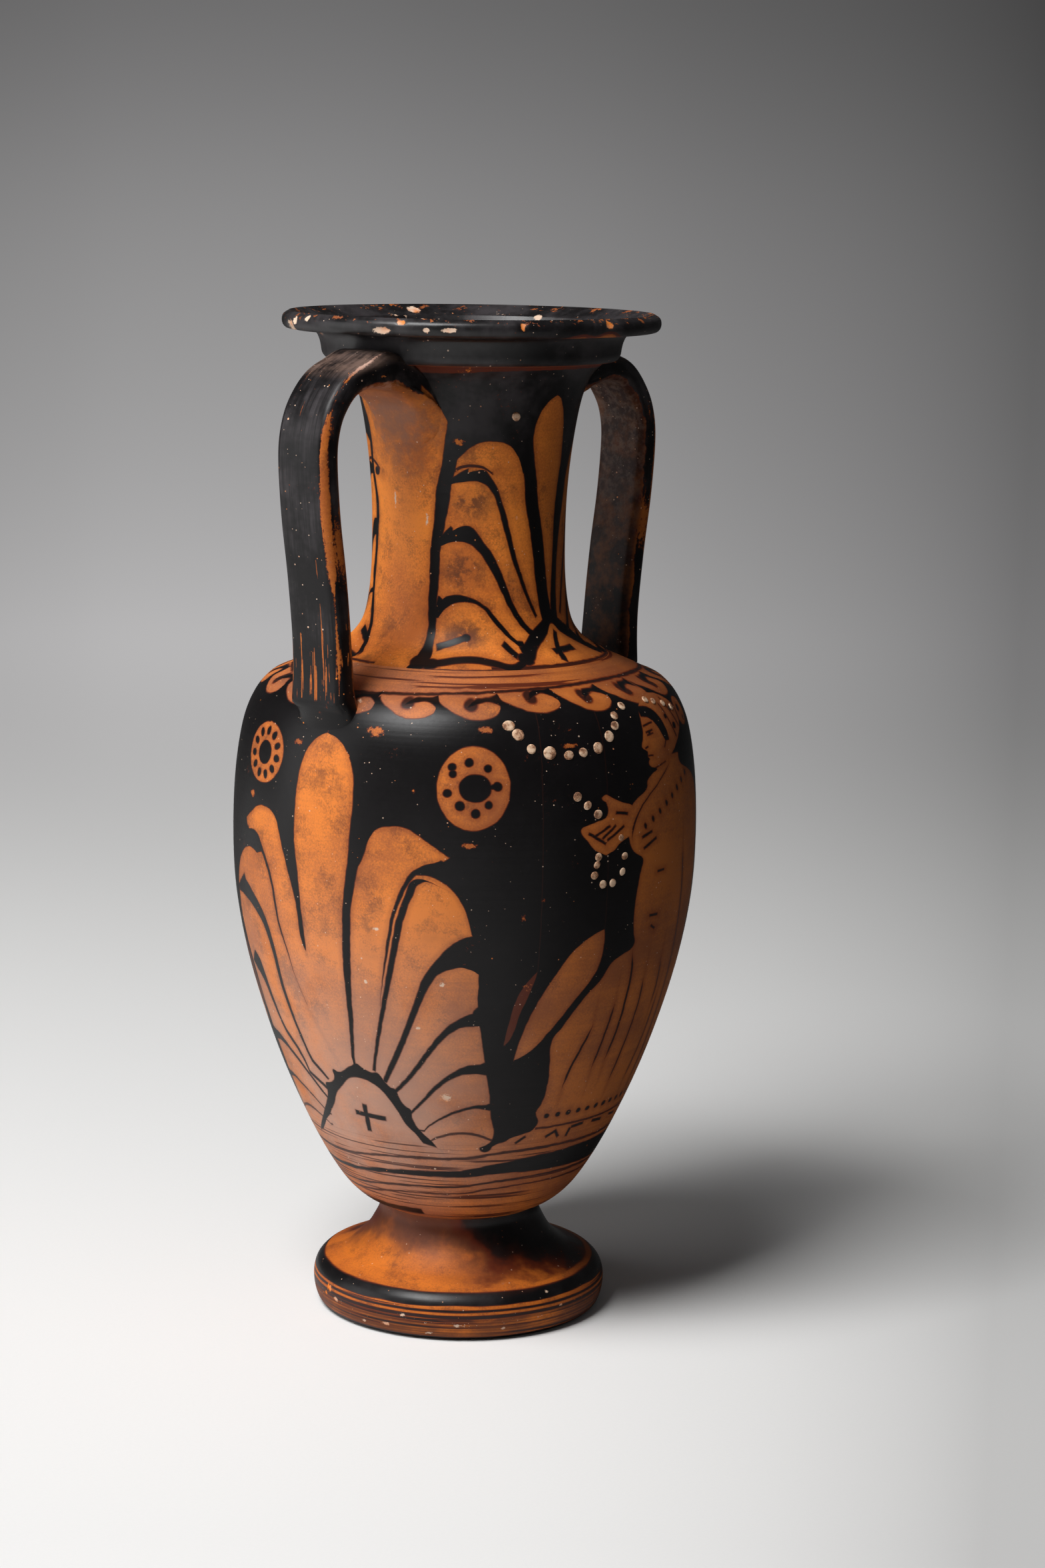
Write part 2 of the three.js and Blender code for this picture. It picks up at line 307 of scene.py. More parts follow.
class Value:
    """A number that changes over the surface. Python's operators on it add Math nodes."""

    def __init__(self, bench: Bench, socket: NodeSocket) -> None:
        """Wraps an output socket of a tree."""
        self.bench = bench
        self.socket = socket

    __add__ = operator("ADD")
    __radd__ = operator("ADD", swapped=True)
    __sub__ = operator("SUBTRACT")
    __rsub__ = operator("SUBTRACT", swapped=True)
    __mul__ = operator("MULTIPLY")
    __rmul__ = operator("MULTIPLY", swapped=True)
    __truediv__ = operator("DIVIDE")

    def math(self, operation: str, *terms: Number) -> Value:
        """This value and the terms, in order, through one Math node."""
        return self.bench.maths(operation, self, *terms)

    def __neg__(self) -> Value:
        """The value with its sign turned."""
        return self.bench.maths("MULTIPLY", self, -1.0)

    def __abs__(self) -> Value:
        """The value without its sign."""
        return self.bench.maths("ABSOLUTE", self)


Number = Value | float | int


class Bench:
    """One material's tree, with the calls that lay its nodes."""

    def __init__(self, name: str) -> None:
        """Starts a material with an empty tree.

        Args:
            name: the finish's name.
        """
        self.material = bpy.data.materials.new(name)
        self.material.use_nodes = True
        self.tree = self.material.node_tree
        self.tree.nodes.clear()
        self.count = 0

    def node(
        self, kind: str, settings: Mapping[str, Any], sockets: Mapping[int | str, Any]
    ) -> Node:
        """Adds one node.

        Args:
            kind: the node's type.
            settings: what is set before its sockets. "points" are a curve's.
            sockets: values or links, by the socket's number or name.

        Returns:
            The node.
        """
        made = self.tree.nodes.new(kind)
        made.location = (self.count % 40 * 180, -(self.count // 40) * 220)
        self.count += 1
        for key, value in settings.items():
            if key == "points":
                self._shape(made.mapping, value)
            else:
                setattr(made, key, value)
        for key, value in sockets.items():
            socket = made.inputs[key]
            if isinstance(value, Value):
                self.tree.links.new(value.socket, socket)
            elif isinstance(value, NodeSocket):
                self.tree.links.new(value, socket)
            else:
                socket.default_value = value
        return made

    @staticmethod
    def _shape(mapping: CurveMapping, points: Sequence[Point]) -> None:
        """Runs a curve through points, level beyond its ends."""
        mapping.use_clip = False
        mapping.extend = "HORIZONTAL"
        curve = mapping.curves[0]
        ordered = sorted(points)
        curve.points[0].location = ordered[0]
        curve.points[1].location = ordered[-1]
        for place in ordered[1:-1]:
            curve.points.new(*place)
        mapping.update()

    def maths(self, operation: str, *terms: Number) -> Value:
        """One Math node on values and numbers."""
        made = self.node("ShaderNodeMath", {"operation": operation}, dict(enumerate(terms)))
        return Value(self, made.outputs[0])

    def least(self, first: Number, *others: Number) -> Value:
        """The smallest of several."""
        for other in others:
            first = self.maths("MINIMUM", first, other)
        return first

    def most(self, first: Number, *others: Number) -> Value:
        """The largest of several."""
        for other in others:
            first = self.maths("MAXIMUM", first, other)
        return first

    def step(self, value: Value, low: float, high: float) -> Value:
        """A smooth step from 0 at low to 1 at high."""
        settings = {"interpolation_type": "SMOOTHSTEP"}
        made = self.node("ShaderNodeMapRange", settings, {"Value": value, "From Min": low, "From Max": high})
        return Value(self, made.outputs[0])

    def curve(self, value: Value, points: Sequence[Point]) -> Value:
        """A given curve's height at a value."""
        made = self.node("ShaderNodeFloatCurve", {"points": points}, {"Value": value})
        return Value(self, made.outputs[0])

    def length(self, x: Number, y: Number) -> Value:
        """The distance of (x, y) from nought."""
        both = self.node("ShaderNodeCombineXYZ", {}, {0: x, 1: y})
        made = self.node("ShaderNodeVectorMath", {"operation": "LENGTH"}, {0: both.outputs[0]})
        return Value(self, made.outputs["Value"])

    def mix(self, factor: Number, first: Any, second: Any) -> NodeSocket:
        """The first colour where the factor is 0, and the second where it is 1."""
        made = self.node("ShaderNodeMix", {"data_type": "RGBA"}, {0: factor, 6: first, 7: second})
        return made.outputs[2]

    def noise(self, where: Any, scale: float, detail: float = 2.0, roughness: float = 0.5) -> Value:
        """Cloudy noise, about 0.5, at a scale of so many waves to a unit."""
        sockets = {"Vector": where, "Scale": scale, "Detail": detail, "Roughness": roughness}
        return Value(self, self.node("ShaderNodeTexNoise", {}, sockets).outputs[0])

    def finish(
        self, colour: Any, roughness: Number, height: Value | None = None, bump: float = 0.1, **fixed: Any
    ) -> Material:
        """Closes the tree with the surface.

        Args:
            colour: the base colour.
            roughness: the roughness.
            height: what the bump follows, in millimetres.
            bump: the bump's strength.
            fixed: sockets of the surface that stay the same all over.

        Returns:
            The finished material.
        """
        sockets = {"Base Color": colour, "Roughness": roughness}
        sockets.update({key.replace("_", " "): value for key, value in fixed.items()})
        if height is not None:
            raised = {"Strength": bump, "Distance": MM, "Height": height}
            sockets["Normal"] = self.node("ShaderNodeBump", {}, raised).outputs[0]
        surface = self.node("ShaderNodeBsdfPrincipled", {}, sockets)
        self.node("ShaderNodeOutputMaterial", {}, {"Surface": surface.outputs[0]})
        LOG.info("finish %s: %d nodes", self.material.name, len(self.tree.nodes))
        return self.material


# Painting ---------------------------------------------------------------------------------------

DEGREE = math.pi / 180


class Surface:
    """Where a point of the jar lies, in millimetres and degrees, with the hand's small tremble."""

    def __init__(self, bench: Bench, tremble: float = 0.5) -> None:
        """Reads the object coordinates.

        Args:
            bench: the material's bench.
            tremble: how far a drawn edge strays, in millimetres.
        """
        self.bench = bench
        where = bench.node("ShaderNodeTexCoord", {}, {}).outputs["Object"]
        scaled = bench.node("ShaderNodeVectorMath", {"operation": "SCALE"}, {0: where, "Scale": 1 / MM})
        self.place = scaled.outputs[0]
        parts = bench.node("ShaderNodeSeparateXYZ", {}, {0: self.place}).outputs
        x, y, height = (Value(bench, part) for part in parts)
        self.radius = bench.length(x, y)
        self.degree = self.radius * DEGREE
        self.angle = bench.maths("ARCTAN2", x, -y) / DEGREE
        self.level = height
        sockets = {"Vector": self.place, "Scale": 0.34, "Detail": 1.0}
        shake = bench.node("ShaderNodeTexNoise", {}, sockets).outputs["Color"]
        shaken = bench.node("ShaderNodeSeparateXYZ", {}, {0: shake}).outputs
        one, two = Value(bench, shaken[0]), Value(bench, shaken[1])
        self.height = height + (one - 0.5) * tremble
        self.phi = self.angle + (two - 0.5) * tremble / self.degree
        self.side = bench.maths("WRAP", self.phi, 90.0, -90.0)

    def right_of(self, edge: Number) -> Value:
        """How far a point lies to the right of an angle on its painted side, in millimetres."""
        return (self.side - edge) * self.degree

    def left_of(self, edge: Number) -> Value:
        """How far a point lies to the left of an angle on its painted side, in millimetres."""
        return (edge - self.side) * self.degree

    def stretched(self, around: float, up: float, detail: float = 3.0, shift: float = 0.0) -> Value:
        """Noise drawn out round the jar, as a brush or a rib leaves it.

        Args:
            around: waves to a degree.
            up: waves to a millimetre of height.
            detail: how many finer layers lie on it.
            shift: where in the noise it starts.

        Returns:
            The noise, about 0.5.
        """
        turn = self.angle * DEGREE
        ring = 1 / DEGREE * around
        where = self.bench.node("ShaderNodeCombineXYZ", {}, {
            0: turn.math("COSINE") * ring, 1: turn.math("SINE") * ring, 2: self.level * up + shift})
        return self.bench.noise(where.outputs[0], 1.0, detail)


class Painting:
    """Slip on a piece, kept as the depth inside its painted edge, in millimetres."""

    def __init__(self, here: Surface, depth: Number) -> None:
        """Starts from a first painted area.

        Args:
            here: the piece's surface.
            depth: the depth inside the area, negative outside it.
        """
        self.bench = here.bench
        self.here = here
        self.depth = depth

    def cover(self, *shapes: Number) -> None:
        """Lays slip over shapes."""
        self.depth = self.bench.most(self.depth, *shapes)

    def reserve(self, *shapes: Value) -> None:
        """Leaves the clay bare inside shapes."""
        for shape in shapes:
            self.depth = self.bench.least(self.depth, -shape)

    def thin(self, depth: float, *shapes: Value) -> None:
        """Wipes the slip down to a brown wash inside shapes."""
        for shape in shapes:
            self.depth = self.bench.least(self.depth, self.bench.most(-shape, depth))

    def clear_inside(self, outside: Outline, black_from: float) -> None:
        """Takes the picture off the inside of a wall, which is black at the top and bare below.

        Args:
            outside: the wall's outside, at the jar's height.
            black_from: where the black begins, in millimetres up the jar.
        """
        here = self.here
        within = [(height, radius - 2.6) for radius, height in outside.spaced(outside.length / 22)]
        inner = self.bench.step(self.bench.curve(here.level, within) - here.radius, -0.3, 0.3)
        self.depth = self.depth + ((here.height - black_from) * 0.7 - self.depth) * inner

    def both(self, *shapes: Number) -> Value:
        """The depth inside all of the shapes."""
        return self.bench.least(*shapes)

    def oval(self, phi: float, height: float, wide: float, tall: float, along: Value | None = None) -> Value:
        """The depth inside an oval.

        Args:
            phi: its middle, in degrees.
            height: its middle's height.
            wide: half its width, in millimetres.
            tall: half its height.
            along: the angle to measure by, if it isn't the folded one.

        Returns:
            The depth.
        """
        angle = self.here.side if along is None else along
        across = (angle - phi) * self.here.degree / wide
        up = (self.here.height - height) / tall
        return (1 - self.bench.length(across, up)) * min(wide, tall)

    def splashes(
        self, places: Sequence[Sequence[float]], strength: float | None = None, upright: bool = False,
        along: Value | None = None,
    ) -> Value:
        """How deep a point lies in one of several ovals, as a share of the oval's size.

        Args:
            places: the angle, height, half width and half height of each.
            strength: what the shares are multiplied by.
            upright: whether a share is of the half height, and not of the smaller half.
            along: the angle to measure by, if it isn't the folded one.

        Returns:
            The largest share, and 0 outside them all.
        """
        shares = []
        for phi, height, wide, tall in places:
            share = self.oval(phi, height, wide, tall, along) / (tall if upright else min(wide, tall))
            shares.append(share if strength is None else share * strength)
        return self.bench.most(0.0, *shares)

    def mark(self, first: Point, second: Point, half: float, radius: float) -> Value:
        """The depth inside a short straight mark between two places.

        Args:
            first: angle and height of one end.
            second: the same of the other end.
            half: half its width, in millimetres.
            radius: the jar's radius there.

        Returns:
            The depth.
        """
        wide = (second[0] - first[0]) * radius * DEGREE
        tall = second[1] - first[1]
        length = math.hypot(wide, tall)
        cos, sin = wide / length, tall / length
        dx = (self.here.side - (first[0] + second[0]) / 2) * (radius * DEGREE)
        dz = self.here.height - (first[1] + second[1]) / 2
        along, across = dx * cos + dz * sin, dz * cos - dx * sin
        return self.both(half - abs(across), (length / 2 - abs(along)) * 0.7)

    def fold(self, places: Sequence[Point], half: float) -> Value:
        """The depth inside a line drawn downwards, thin at both ends.

        Args:
            places: height and angle of its points.
            half: half its width, in millimetres.

        Returns:
            The depth.
        """
        low, high = min(p[0] for p in places), max(p[0] for p in places)
        off = abs(self.here.side - self.bench.curve(self.here.height, places)) * self.here.degree
        width = self.both(half, (self.here.height - low) * 0.12, (high - self.here.height) * 0.12)
        return width - off

    def beads(
        self, first: Point, second: Point, radius: float, step: float, wide: float, tall: float
    ) -> Value:
        """The depth inside a row of drops between two places.

        Args:
            first: angle and height of one end.
            second: the same of the other end.
            radius: the jar's radius there.
            step: from drop to drop, in millimetres.
            wide: half a drop's width, along the row.
            tall: half a drop's width, across the row.

        Returns:
            The depth.
        """
        dx, dz = (second[0] - first[0]) * radius * DEGREE, second[1] - first[1]
        length = math.hypot(dx, dz)
        cos, sin = dx / length, dz / length
        x = (self.here.side - first[0]) * (radius * DEGREE)
        z = self.here.height - first[1]
        along, across = x * cos + z * sin, z * cos - x * sin
        drop = along.math("WRAP", step / 2, -step / 2)
        drops = (1 - self.bench.length(drop / wide, across / tall)) * min(wide, tall)
        return self.both(drops, along + wide, length + wide - along)


class Palmette:
    """Petals that fan out from a core: polar places about it, for shapes and strokes."""

    def __init__(self, art: Painting, core: float, axis: Number) -> None:
        """Measures from the core.

        Args:
            art: the painting.
            core: the core's height.
            axis: the axis's angle, which may lean with the height.
        """
        here, bench = art.here, art.bench
        self.bench = bench
        self.art = art
        leans = isinstance(axis, Value)
        away = bench.maths("WRAP", here.phi - axis, 90.0, -90.0) if leans else here.side - axis
        across = away * here.degree
        up = here.height - core
        self.reach = bench.length(across, up)
        self.turn = bench.maths("ARCTAN2", across, up) / DEGREE
        self.open = abs(self.turn)
        self.left = bench.maths("LESS_THAN", across, 0.0)
        self.scale = self.reach * DEGREE

    def pair(self, right: Sequence[Point], left: Sequence[Point] | None = None) -> Value:
        """An opening angle that changes with the reach, drawn for each half."""
        first = self.bench.curve(self.reach, right)
        if left is None:
            return first
        second = self.bench.curve(self.reach, left)
        settings = {"data_type": "FLOAT"}
        made = self.bench.node("ShaderNodeMix", settings, {0: self.left, 2: first, 3: second})
        return Value(self.bench, made.outputs[0])

    def inside(self, edge: Value) -> Value:
        """The depth on the axis's side of an edge."""
        return (edge - self.open) * self.scale

    def beyond(self, edge: Value) -> Value:
        """The depth on the far side of an edge."""
        return (self.open - edge) * self.scale

    def under(self, tops: Sequence[Point]) -> Value:
        """The depth below an arch that is set by the opening angle."""
        return self.bench.curve(self.open, tops) - self.reach

    def stroke(self, centre: Value, halves: Sequence[Point], low: float, high: float) -> Value:
        """The depth inside a stroke.

        Args:
            centre: its middle line's opening angle.
            halves: its half width in millimetres, by the reach.
            low: the reach at which it starts.
            high: the reach at which it ends.

        Returns:
            The depth.
        """
        width = self.bench.curve(self.reach, halves)
        line = width - abs(self.open - centre) * self.scale
        return self.art.both(line, self.reach - low, high - self.reach)


@dataclass(frozen=True)
class Fired:
    """How clay and slip come out of the kiln, with the colours of painted sheen and shade, the same on every
    painted piece.
    """

    clay: Colour = srgb(222, 126, 50)
    clay_dull: Colour = srgb(168, 94, 50)
    # The brown of scorching, also used for painted shade.
    clay_scorched_and_shaded: Colour = srgb(86, 52, 36)
    crust: Colour = srgb(150, 124, 108)
    # The pale veil's colour: dirt, and painted reflection and highlight on the clay.
    film_and_sheen: Colour = srgb(206, 168, 150)
    lime: Colour = srgb(222, 192, 168)
    dilute: Colour = srgb(104, 40, 16)
    thin: Colour = srgb(46, 22, 16)
    slip: Colour = srgb(14, 12, 13)
    # The grey of painted sheen on the slip, partly dulled gloss.
    worn_gloss_and_sheen: Colour = srgb(58, 54, 56)

    def bare(self, bench: Bench, here: Surface, scorch_and_shade: Number) -> NodeSocket:
        """The bare clay: cloudy, grained, faintly ribbed by the wheel, and darkened brown in blotches, by
        scorching and by painted shade.

        Args:
            bench: the material's bench.
            here: the piece's surface.
            scorch_and_shade: how far the clay is darkened brown, by scorching and by painted shade.

        Returns:
            The colour.
        """
        cloud = bench.noise(here.place, 0.032, 3.0, 0.6)
        grain = bench.noise(here.place, 1.6, 2.0, 0.7)
        ribs = here.stretched(0.03, 0.8)
        dull = bench.step(cloud * 0.66 + ribs * 0.12 + grain * 0.32, 0.42, 0.68)
        colour = bench.mix(dull, self.clay, self.clay_dull)
        blotch = bench.noise(here.place, 0.11, 4.0, 0.65)
        dark = bench.step(blotch + grain * 0.3, 0.62, 0.9) * 0.6
        return bench.mix(bench.most(dark, scorch_and_shade), colour, self.clay_scorched_and_shaded)

    def coat(self, bench: Bench, clay: Any, cover: Value) -> NodeSocket:
        """Slip over clay: brown where it is thin and black where it is full.

        Args:
            bench: the material's bench.
            clay: the colour under it.
            cover: how full the slip is, 0 to 1.

        Returns:
            The colour.
        """
        brown = bench.mix(bench.step(cover, 0.0, 0.42), clay, self.dilute)
        dark = bench.mix(bench.step(cover, 0.3, 0.66), brown, self.thin)
        return bench.mix(bench.step(cover, 0.58, 0.95), dark, self.slip)

    @staticmethod
    def specks(bench: Bench, here: Surface, cell: float, size: float, share: float) -> Value:
        """Pinholes and lime specks.

        Args:
            bench: the material's bench.
            here: the piece's surface.
            cell: how far apart they may lie, in millimetres.
            size: the largest one's radius, as a share of that.
            share: how many of the places have one.

        Returns:
            1 on a speck.
        """
        made = bench.node("ShaderNodeTexVoronoi", {}, {"Vector": here.place, "Scale": 1 / cell})
        parts = bench.node("ShaderNodeSeparateXYZ", {}, {0: made.outputs["Color"]}).outputs
        lucky = Value(bench, parts[0]).math("LESS_THAN", share)
        radius = Value(bench, parts[1]).math("POWER", 2.5) * size + size * 0.15
        return bench.maths("LESS_THAN", Value(bench, made.outputs["Distance"]), radius) * lucky

    def dress(
        self, art: Painting, scorch_and_shade: Number, wear: Number, worn_gloss_and_sheen: Number, flakes: Number,
        dust_and_painted_light: Number = 0.0, gloss: float = 0.4,
    ) -> Material:
        """Turns the depth of slip into colour, gloss and relief, and wears it.

        Args:
            art: the finished painting.
            scorch_and_shade: how far the clay is darkened brown, by scorching and by painted shade.
            wear: how far the slip is rubbed off.
            worn_gloss_and_sheen: how grey the slip's sheen gets; the grey is painted sheen, partly dulled
                gloss.
            flakes: where the surface is flaked off to pale clay.
            dust_and_painted_light: how far a pale veil lies on the clay, and a quarter as far on the slip:
                dirt, and painted reflection, highlight and shade where a piece gives them.
            gloss: how strongly the surface mirrors light.

        Returns:
            The finish.
        """
        here, bench = art.here, art.bench
        patch = bench.noise(here.place, 0.07, 3.0, 0.6)
        scratch = bench.noise(here.place, 0.9, 3.0, 0.75)
        worn = bench.step(patch + (scratch - 0.5) * 1.1, 0.74, 0.92) * 0.7
        rubbed = bench.step(wear + (scratch - 0.5) * 1.2, 0.35, 0.75)
        cover = bench.step(art.depth, -0.4, 0.5) - bench.most(worn, rubbed)
        clay = self.bare(bench, here, scorch_and_shade)
        crust = bench.step(bench.noise(here.place, 0.15, 5.0, 0.8) + (scratch - 0.5) * 0.5, 0.66, 0.82)
        clay = bench.mix(crust * 0.45, clay, self.crust)
        clay = bench.mix(bench.step(art.depth, -2.2, -0.3) * 0.3, clay, self.dilute)
        colour = self.coat(bench, clay, cover)
        # Grey patches on the slip: painted sheen, partly dulled gloss.
        grey = bench.step(bench.noise(here.place, 0.045, 4.0, 0.7), 0.4, 0.7) * worn_gloss_and_sheen
        slip = bench.step(cover, 0.2, 0.8)
        colour = bench.mix(grey * slip, colour, self.worn_gloss_and_sheen)
        # The pale veil: dirt, and painted reflection, highlight and shade.
        colour = bench.mix((1 - slip * 0.75) * dust_and_painted_light, colour, self.film_and_sheen)
        flake = bench.step(flakes + (scratch - 0.5) * 1.3, 0.3, 0.55)
        colour = bench.mix(flake, colour, bench.mix(bench.step(patch, 0.46, 0.6), self.lime, self.clay))
        specks = bench.most(*(
            self.specks(bench, here, *size) for size in (
                (1.2, 0.17, 0.22), (2.3, 0.12, 0.18), (6.0, 0.06, 0.16))))
        colour = bench.mix(specks * 0.7, colour, bench.mix(bench.step(patch, 0.4, 0.5), self.clay, self.lime))
        rough = 0.52 - slip * 0.17 + (scratch - 0.5) * 0.14 + crust * 0.12 + grey * 0.12 + flake * 0.3
        wheel = here.stretched(0.008, 0.55, 2.0, 3.0)
        relief = wheel * 0.2 + scratch * 0.06 - flake * 0.2
        return bench.finish(colour, rough, relief, 0.25, Specular_IOR_Level=gloss)


@dataclass(frozen=True)
class BodyPaint:
    """The body's picture: palmettes under the handles, roundels, waves, and a robed figure."""

    fired: Fired = Fired()

    def material(self) -> Material:
        """Paints the body.

        Returns:
            The finish.
        """
        bench = Bench("body_paint")
        here = Surface(bench)
        art = Painting(here, self._ground(bench, here))
        self._waves(art)
        self._palmette(art)
        self._roundels(art)
        self._figure(art)
        self._foot_zone(art)
        return self._fire(art)

    @staticmethod
    def _ground(bench: Bench, here: Surface) -> Value:
        """The black ground, from the shoulder's groove down to the baseline."""
        low = bench.curve(here.side, (
            (-90, 68), (-46, 68.6), (-43, 67.2), (-42, 65.6), (-40, 65.2), (-38.6, 66.8), (-34, 68.6),
            (-26, 71.4), (0, 72), (34, 71), (41, 66.4), (44, 66.2), (48, 68.4), (90, 68)))
        high = bench.curve(here.side, (
            (-90, 212.2), (-73, 212.7), (-60, 213.2), (-38, 213.9), (-22, 214.5), (-2, 215), (20, 215),
            (50, 213.8), (90, 212.2)))
        tip = (1 - bench.length((here.side + 41.0) * 0.47, (here.height - 66.4) * 0.62)) * 1.6
        return bench.most(bench.least(here.height - low, high - here.height), tip)

    @staticmethod
    def _waves(art: Painting) -> None:
        """The running waves under the groove, left bare, with a dark curl over each."""
        here, bench = art.here, art.bench
        run = bench.maths("WRAP", here.side + 58.3, 17.62, 0.0)
        drop = bench.curve(here.side, (
            (-90, 0), (-76, 0.1), (-50, 0), (-41, 0.4), (-33, 1.7), (-15, 1.2), (10, 1.6), (45, 1.2),
            (90, 0)))
        level = here.height - drop
        foot = bench.curve(run, (
            (0, 214), (0.7, 212.4), (3, 210.6), (5.7, 209), (8.4, 207.8), (11, 207.3), (13.7, 207.5),
            (16, 208.3), (17.3, 209.3), (17.62, 210.2)))
        bulb = (level - foot) * 0.8
        curl_line = bench.curve(run, ((8.2, 210.2), (9, 211), (10.5, 211.9), (12.5, 212.5), (17.6, 212.3)))
        curl_half = bench.curve(run, ((8.2, -0.2), (9.4, 0.5), (11, 0.75), (14, 0.5), (15.8, 0.7),
            (17.6, 1.5)))
        art.reserve(bulb)
        smudge = (1 - bench.length((run - 9.6) * 0.55, (level - 211.4) * 0.62)) * 0.8
        art.cover(art.both(curl_half - abs(level - curl_line), bench.maths("MINIMUM", run - 8.0, 9.0)),
                  art.both(smudge, 0.12))

    @staticmethod
    def _palmette(art: Painting) -> None:
        """The palmette under each handle: nine petals round a core with a cross."""
        here, bench = art.here, art.bench
        lean = (here.height - 85.0) / 60.0
        axis = -82.0 - bench.least(bench.most(lean, 0.0), 1.0) * 5.0
        fan = Palmette(art, 74.0, axis)
        middle = fan.inside(fan.pair(
            ((8, 60), (30, 30), (86, 8.6), (92, 7.3), (101, 6.9), (108, 6.6), (114, 6.1), (118, 5.4),
            (122, 4.2),
             (124.6, 2.9), (126.2, 1.6), (127, 0)),
            ((8, 60), (30, 30), (57, 9.2), (63, 7.6), (74, 6.9), (85, 6.8), (93, 6.4), (101, 5.9),
            (108, 5.4),
             (114, 4.8), (119, 4.0), (122.6, 3.0), (125, 1.9), (126.4, 0.9), (127, 0)))) * 0.9
        outer = fan.pair(
            ((8, 12), (23, 21.1), (50, 20.6), (68, 20.4), (83, 20.2), (89, 20.6), (94, 21.8),
            (100, 25.3), (103, 26.2)),
            ((8, 14), (30, 19.4), (49, 19.4), (58, 18.0), (66, 17.5), (75, 16.1), (83, 16.2), (91, 17.8),
            (97, 19.8),
             (99, 22.8)))
        second = art.both(
            fan.under(((9.2, 84), (10.4, 93), (11.2, 99), (12.4, 102), (14.7, 104), (17, 104.8),
                (19.5, 104),
                       (22.3, 103), (25.8, 101.8))),
            fan.beyond(fan.pair(
                ((20, 0), (84, 8.2), (90, 10.2), (98, 10.8)), ((20, 0), (60, 6.0), (70, 7.4), (78, 8.4),
                (84, 9.3), (92, 10.4), (98, 11.0)))),
            fan.inside(outer))
        rest = art.both(
            fan.under(((20, 90), (22, 92.6), (25, 94), (29.8, 93), (32.2, 91), (34.1, 89), (36.1, 86),
                (37.1, 84),
                       (38.6, 82.6), (43.3, 73), (48.2, 63.4), (52.9, 58), (62.7, 50), (68.3, 47),
                       (78.2, 43.2),
                       (83, 42), (97, 40), (104, 34), (112, 28), (150, 26), (180, 26))),
            fan.beyond(outer))
        art.reserve(middle, second, rest)
        art.cover(
            fan.stroke(
                fan.pair(((21, 1.1), (32, 5.3), (44, 7.0), (55, 7.7), (66, 8.3), (77, 8.4), (92, 8.5),
                    (97, 8.3)),
                         ((57, 8.6), (60, 8.5), (70, 7.1), (79, 6.8), (89, 7.1), (98, 7.8))),
                ((21, 0.6), (32, 0.75), (44, 1.05), (55, 1.35), (66, 1.45), (77, 1.6), (92, 2.05),
                (100, 2.1)),
                19.0, 98.0) - fan.left * bench.curve(fan.reach, ((54, 3.0), (59, 0.9), (70, 0.5),
                    (80, 0.6))),
            fan.stroke(outer, ((20, 0.1), (45, 0.25), (68, 0.45), (88, 0.7), (96, 1.0)), 21.0, 100.0)
            - bench.curve(fan.reach, ((40, 0.5), (60, 0.1), (70, 0.0))),
            fan.stroke(
                fan.pair(((23, 21.1), (36, 21.8), (48, 22.3), (69, 22.2), (77, 22), (85, 21.9), (91, 22.6),
                          (92.3, 24.6), (92.6, 30)),
                         ((20, 30), (48, 26), (66, 24), (85, 21.4), (92, 21.5), (94, 24.9), (94.5, 30))),
                ((22, 0.5), (48, 0.75), (69, 1.0), (85, 1.15), (91, 1.2)), 20.0, 92.2) - fan.left * 3.0,
        )
        upper = fan.pair(
            ((20, 31.2), (36, 32.4), (54, 32.0), (62, 31.8), (71, 33.1), (76, 34.1), (81, 35.7),
            (85, 37.9)),
            ((26, 46.0), (33, 39.6), (40, 34.8), (49, 29.8), (59, 25.1), (67, 23.5), (73, 24.0),
            (80, 26.5), (85, 29)))
        lower = fan.pair(
            ((21, 35.5), (30, 35.6), (39, 35.1), (47, 34.6), (61, 34.3), (66, 35), (70, 37.1),
            (73, 39.5), (74.5, 46),
             (76, 60)),
            ((26, 49.0), (33, 42.0), (40, 37.0), (49, 32.1), (59, 27.3), (67, 26.0), (73, 27.4),
            (80, 31.5), (85, 36)))
        art.cover(
            art.both(fan.beyond(upper), fan.inside(lower), fan.reach - 18.0, 87.0 - fan.reach),
            fan.stroke(
                fan.pair(((18, 46.3), (24, 47), (41, 45.7), (52, 46.3), (57, 48.2), (61, 50.7)),
                         ((26, 60.8), (32, 52.7), (41, 50.4), (50, 45.1), (59, 41.8), (67, 43.4))),
                ((18, 0.6), (35, 0.75), (50, 1.05), (56, 1.7), (62, 3.4)), 16.0, 66.0),
            fan.stroke(fan.pair(((17, 73.6), (25, 64.2), (32, 60.8), (38, 60.1), (43, 60.9), (49, 64.5))),
                       ((17, 0.5), (30, 0.65), (40, 0.95), (49, 2.4)), 14.0, 52.0),
            fan.stroke(fan.pair(((19, 94.9), (22, 87.2), (28, 80.8), (33, 78.7), (37, 78.1), (42, 79.7))),
                       ((19, 0.3), (30, 0.4), (38, 0.6), (43, 1.3)), 17.0, 44.0),
            art.both(fan.stroke(fan.pair(((20, 107.1), (25, 97.2), (30, 93.9), (35, 94.1), (40, 96.8))),
                                ((20, 0.3), (30, 0.4), (40, 0.45)), 19.0, 41.0), 0.1),
        )
        ring = bench.curve(fan.turn, (
            (-112, 31), (-100, 22), (-90, 18.2), (-77.5, 16), (-55, 15.2), (-33.7, 15.2), (-8.6, 16.8),
            (8, 17),
            (24.2, 16.6), (43.2, 15.2), (68.9, 14.4), (90.4, 15.4), (106.9, 19.4), (112, 21)))
